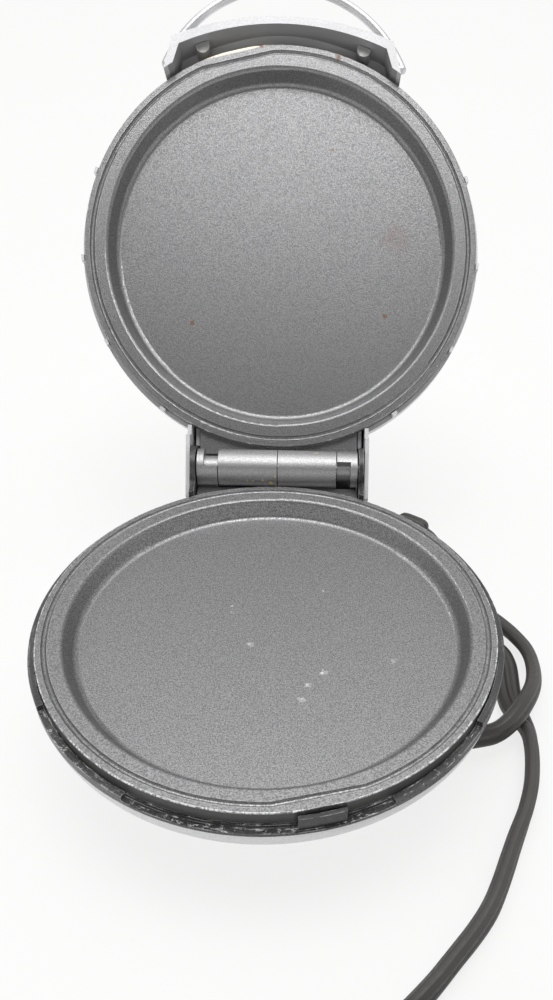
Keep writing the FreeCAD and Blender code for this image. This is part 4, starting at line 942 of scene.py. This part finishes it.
def floor_finish(look):
    """Pale floor: most of its brightness to the eye is its own, and it takes the shadow."""
    material, tree, shader, coords = new_finish("Floor_paper", roughness=0.9, specular_ior_level=0.0)
    grain = effect(tree, "Grain", vector=coords, size=4.0 * MM)
    feed(tree, shader, base_color=mixed(tree, grain["Coarse"], look.floor, toned(look.floor, 0.985)))
    rays = put(tree, "ShaderNodeLightPath").outputs
    seen = maths(tree, "MAXIMUM", rays["Is Camera Ray"], rays["Is Glossy Ray"])
    glow = put(tree, "ShaderNodeEmission", {"Color": (1, 1, 0.995, 1), "Strength": 1.0})
    share = times(tree, seen, FLOOR_GLOW)
    both = put(tree, "ShaderNodeMixShader", {0: share, 1: shader.outputs[0], 2: glow.outputs[0]})
    fill(tree, tree.nodes["Material Output"], {"Surface": both.outputs[0]})
    return material


def lay_floor(look):
    """Wide floor just under the feet."""
    corners = [(x * FLOOR_REACH, y * FLOOR_REACH, 0) for x, y in ((-1, -1), (1, -1), (1, 1), (-1, 1))]
    mesh = bpy.data.meshes.new("Floor")
    mesh.from_pydata(corners, [], [(0, 1, 2, 3)])
    mesh.materials.append(floor_finish(look))
    floor = bpy.data.objects.new("Floor", mesh)
    bpy.context.scene.collection.objects.link(floor)
    floor.location.z = -FLOOR_DROP


def hang_lamp(look):
    """Soft lamp overhead."""
    light = bpy.data.lights.new("Overhead_lamp", "AREA")
    light.shape = "RECTANGLE"
    light.size, light.size_y = LAMP_SIZE
    light.energy = look.overhead
    holder = bpy.data.objects.new("Overhead_lamp", light)
    bpy.context.scene.collection.objects.link(holder)
    holder.location = LAMP_PLACE
    holder.rotation_euler = (Vector(LAMP_AIM) - Vector(LAMP_PLACE)).to_track_quat("-Z", "Y").to_euler()


def light_room(look):
    """Room light, strongest from high up behind and weakest from in front; white to the eye."""
    world = bpy.data.worlds.new("Studio")
    bpy.context.scene.world = world
    world.use_nodes = True
    tree = world.node_tree
    tree.nodes.clear()
    ahead, rise = axes_of(tree, put(tree, "ShaderNodeTexCoord").outputs["Generated"])[1:]
    back = spread(tree, fade(tree, rise, *HIGH_BAND), look.behind, look.above)
    level = spread(tree, fade(tree, ahead, *BACK_BAND), look.front, back)
    level = maths(tree, "MAXIMUM", level, spread(tree, fade(tree, rise, *LOW_BAND), 0.0, look.low))
    room = put(tree, "ShaderNodeBackground", {"Color": WHITE, "Strength": level})
    white = put(tree, "ShaderNodeBackground", {"Color": WHITE, "Strength": 1.0})
    seen = put(tree, "ShaderNodeLightPath").outputs["Is Camera Ray"]
    both = put(tree, "ShaderNodeMixShader", {0: seen, 1: room.outputs[0], 2: white.outputs[0]})
    put(tree, "ShaderNodeOutputWorld", {0: both.outputs[0]})


class GRIDDLE_OT_stage(bpy.types.Operator):
    """Set the camera, the floor and soft studio light"""
    bl_idname = "griddle.stage"
    bl_label = "Stage"

    def execute(self, context):
        look = context.scene.griddle_stage
        context.scene.view_settings.view_transform = "Standard"
        set_camera(look)
        lay_floor(look)
        hang_lamp(look)
        light_room(look)
        return {"FINISHED"}


class GRIDDLE_PT_panel(bpy.types.Panel):
    """Lists the griddle's operators"""
    bl_idname = "GRIDDLE_PT_panel"
    bl_label = "Round griddle"
    bl_space_type = "VIEW_3D"
    bl_region_type = "UI"
    bl_category = "Griddle"

    def draw(self, context):
        for operator in OPERATORS:
            self.layout.operator(operator.bl_idname)


SETTINGS = {
    "griddle_plates": GriddlePlateSettings,
    "griddle_shells": GriddleShellSettings,
    "griddle_trim": GriddleTrimSettings,
    "griddle_metal": GriddleMetalSettings,
    "griddle_controls": GriddleControlSettings,
    "griddle_cord": GriddleCordSettings,
    "griddle_stage": GriddleStageSettings,
}
OPERATORS = [
    GRIDDLE_OT_stage, GRIDDLE_OT_plug, GRIDDLE_OT_cord, GRIDDLE_OT_relief, GRIDDLE_OT_plates,
    GRIDDLE_OT_shells, GRIDDLE_OT_trim, GRIDDLE_OT_metal, GRIDDLE_OT_works,
]


def register():
    for name, group in SETTINGS.items():
        bpy.utils.register_class(group)
        setattr(bpy.types.Scene, name, PointerProperty(type=group))
    for operator in OPERATORS:
        bpy.utils.register_class(operator)
    bpy.utils.register_class(GRIDDLE_PT_panel)


def unregister():
    bpy.utils.unregister_class(GRIDDLE_PT_panel)
    for operator in reversed(OPERATORS):
        bpy.utils.unregister_class(operator)
    for name, group in SETTINGS.items():
        delattr(bpy.types.Scene, name)
        bpy.utils.unregister_class(group)


def main():
    register()
    bpy.ops.griddle.stage()
    bpy.ops.griddle.plug()
    bpy.ops.griddle.cord()
    bpy.ops.griddle.relief()
    bpy.ops.griddle.plates()
    bpy.ops.griddle.shells()
    bpy.ops.griddle.trim()
    bpy.ops.griddle.metal()
    bpy.ops.griddle.works()


if __name__ == "__main__":
    main()
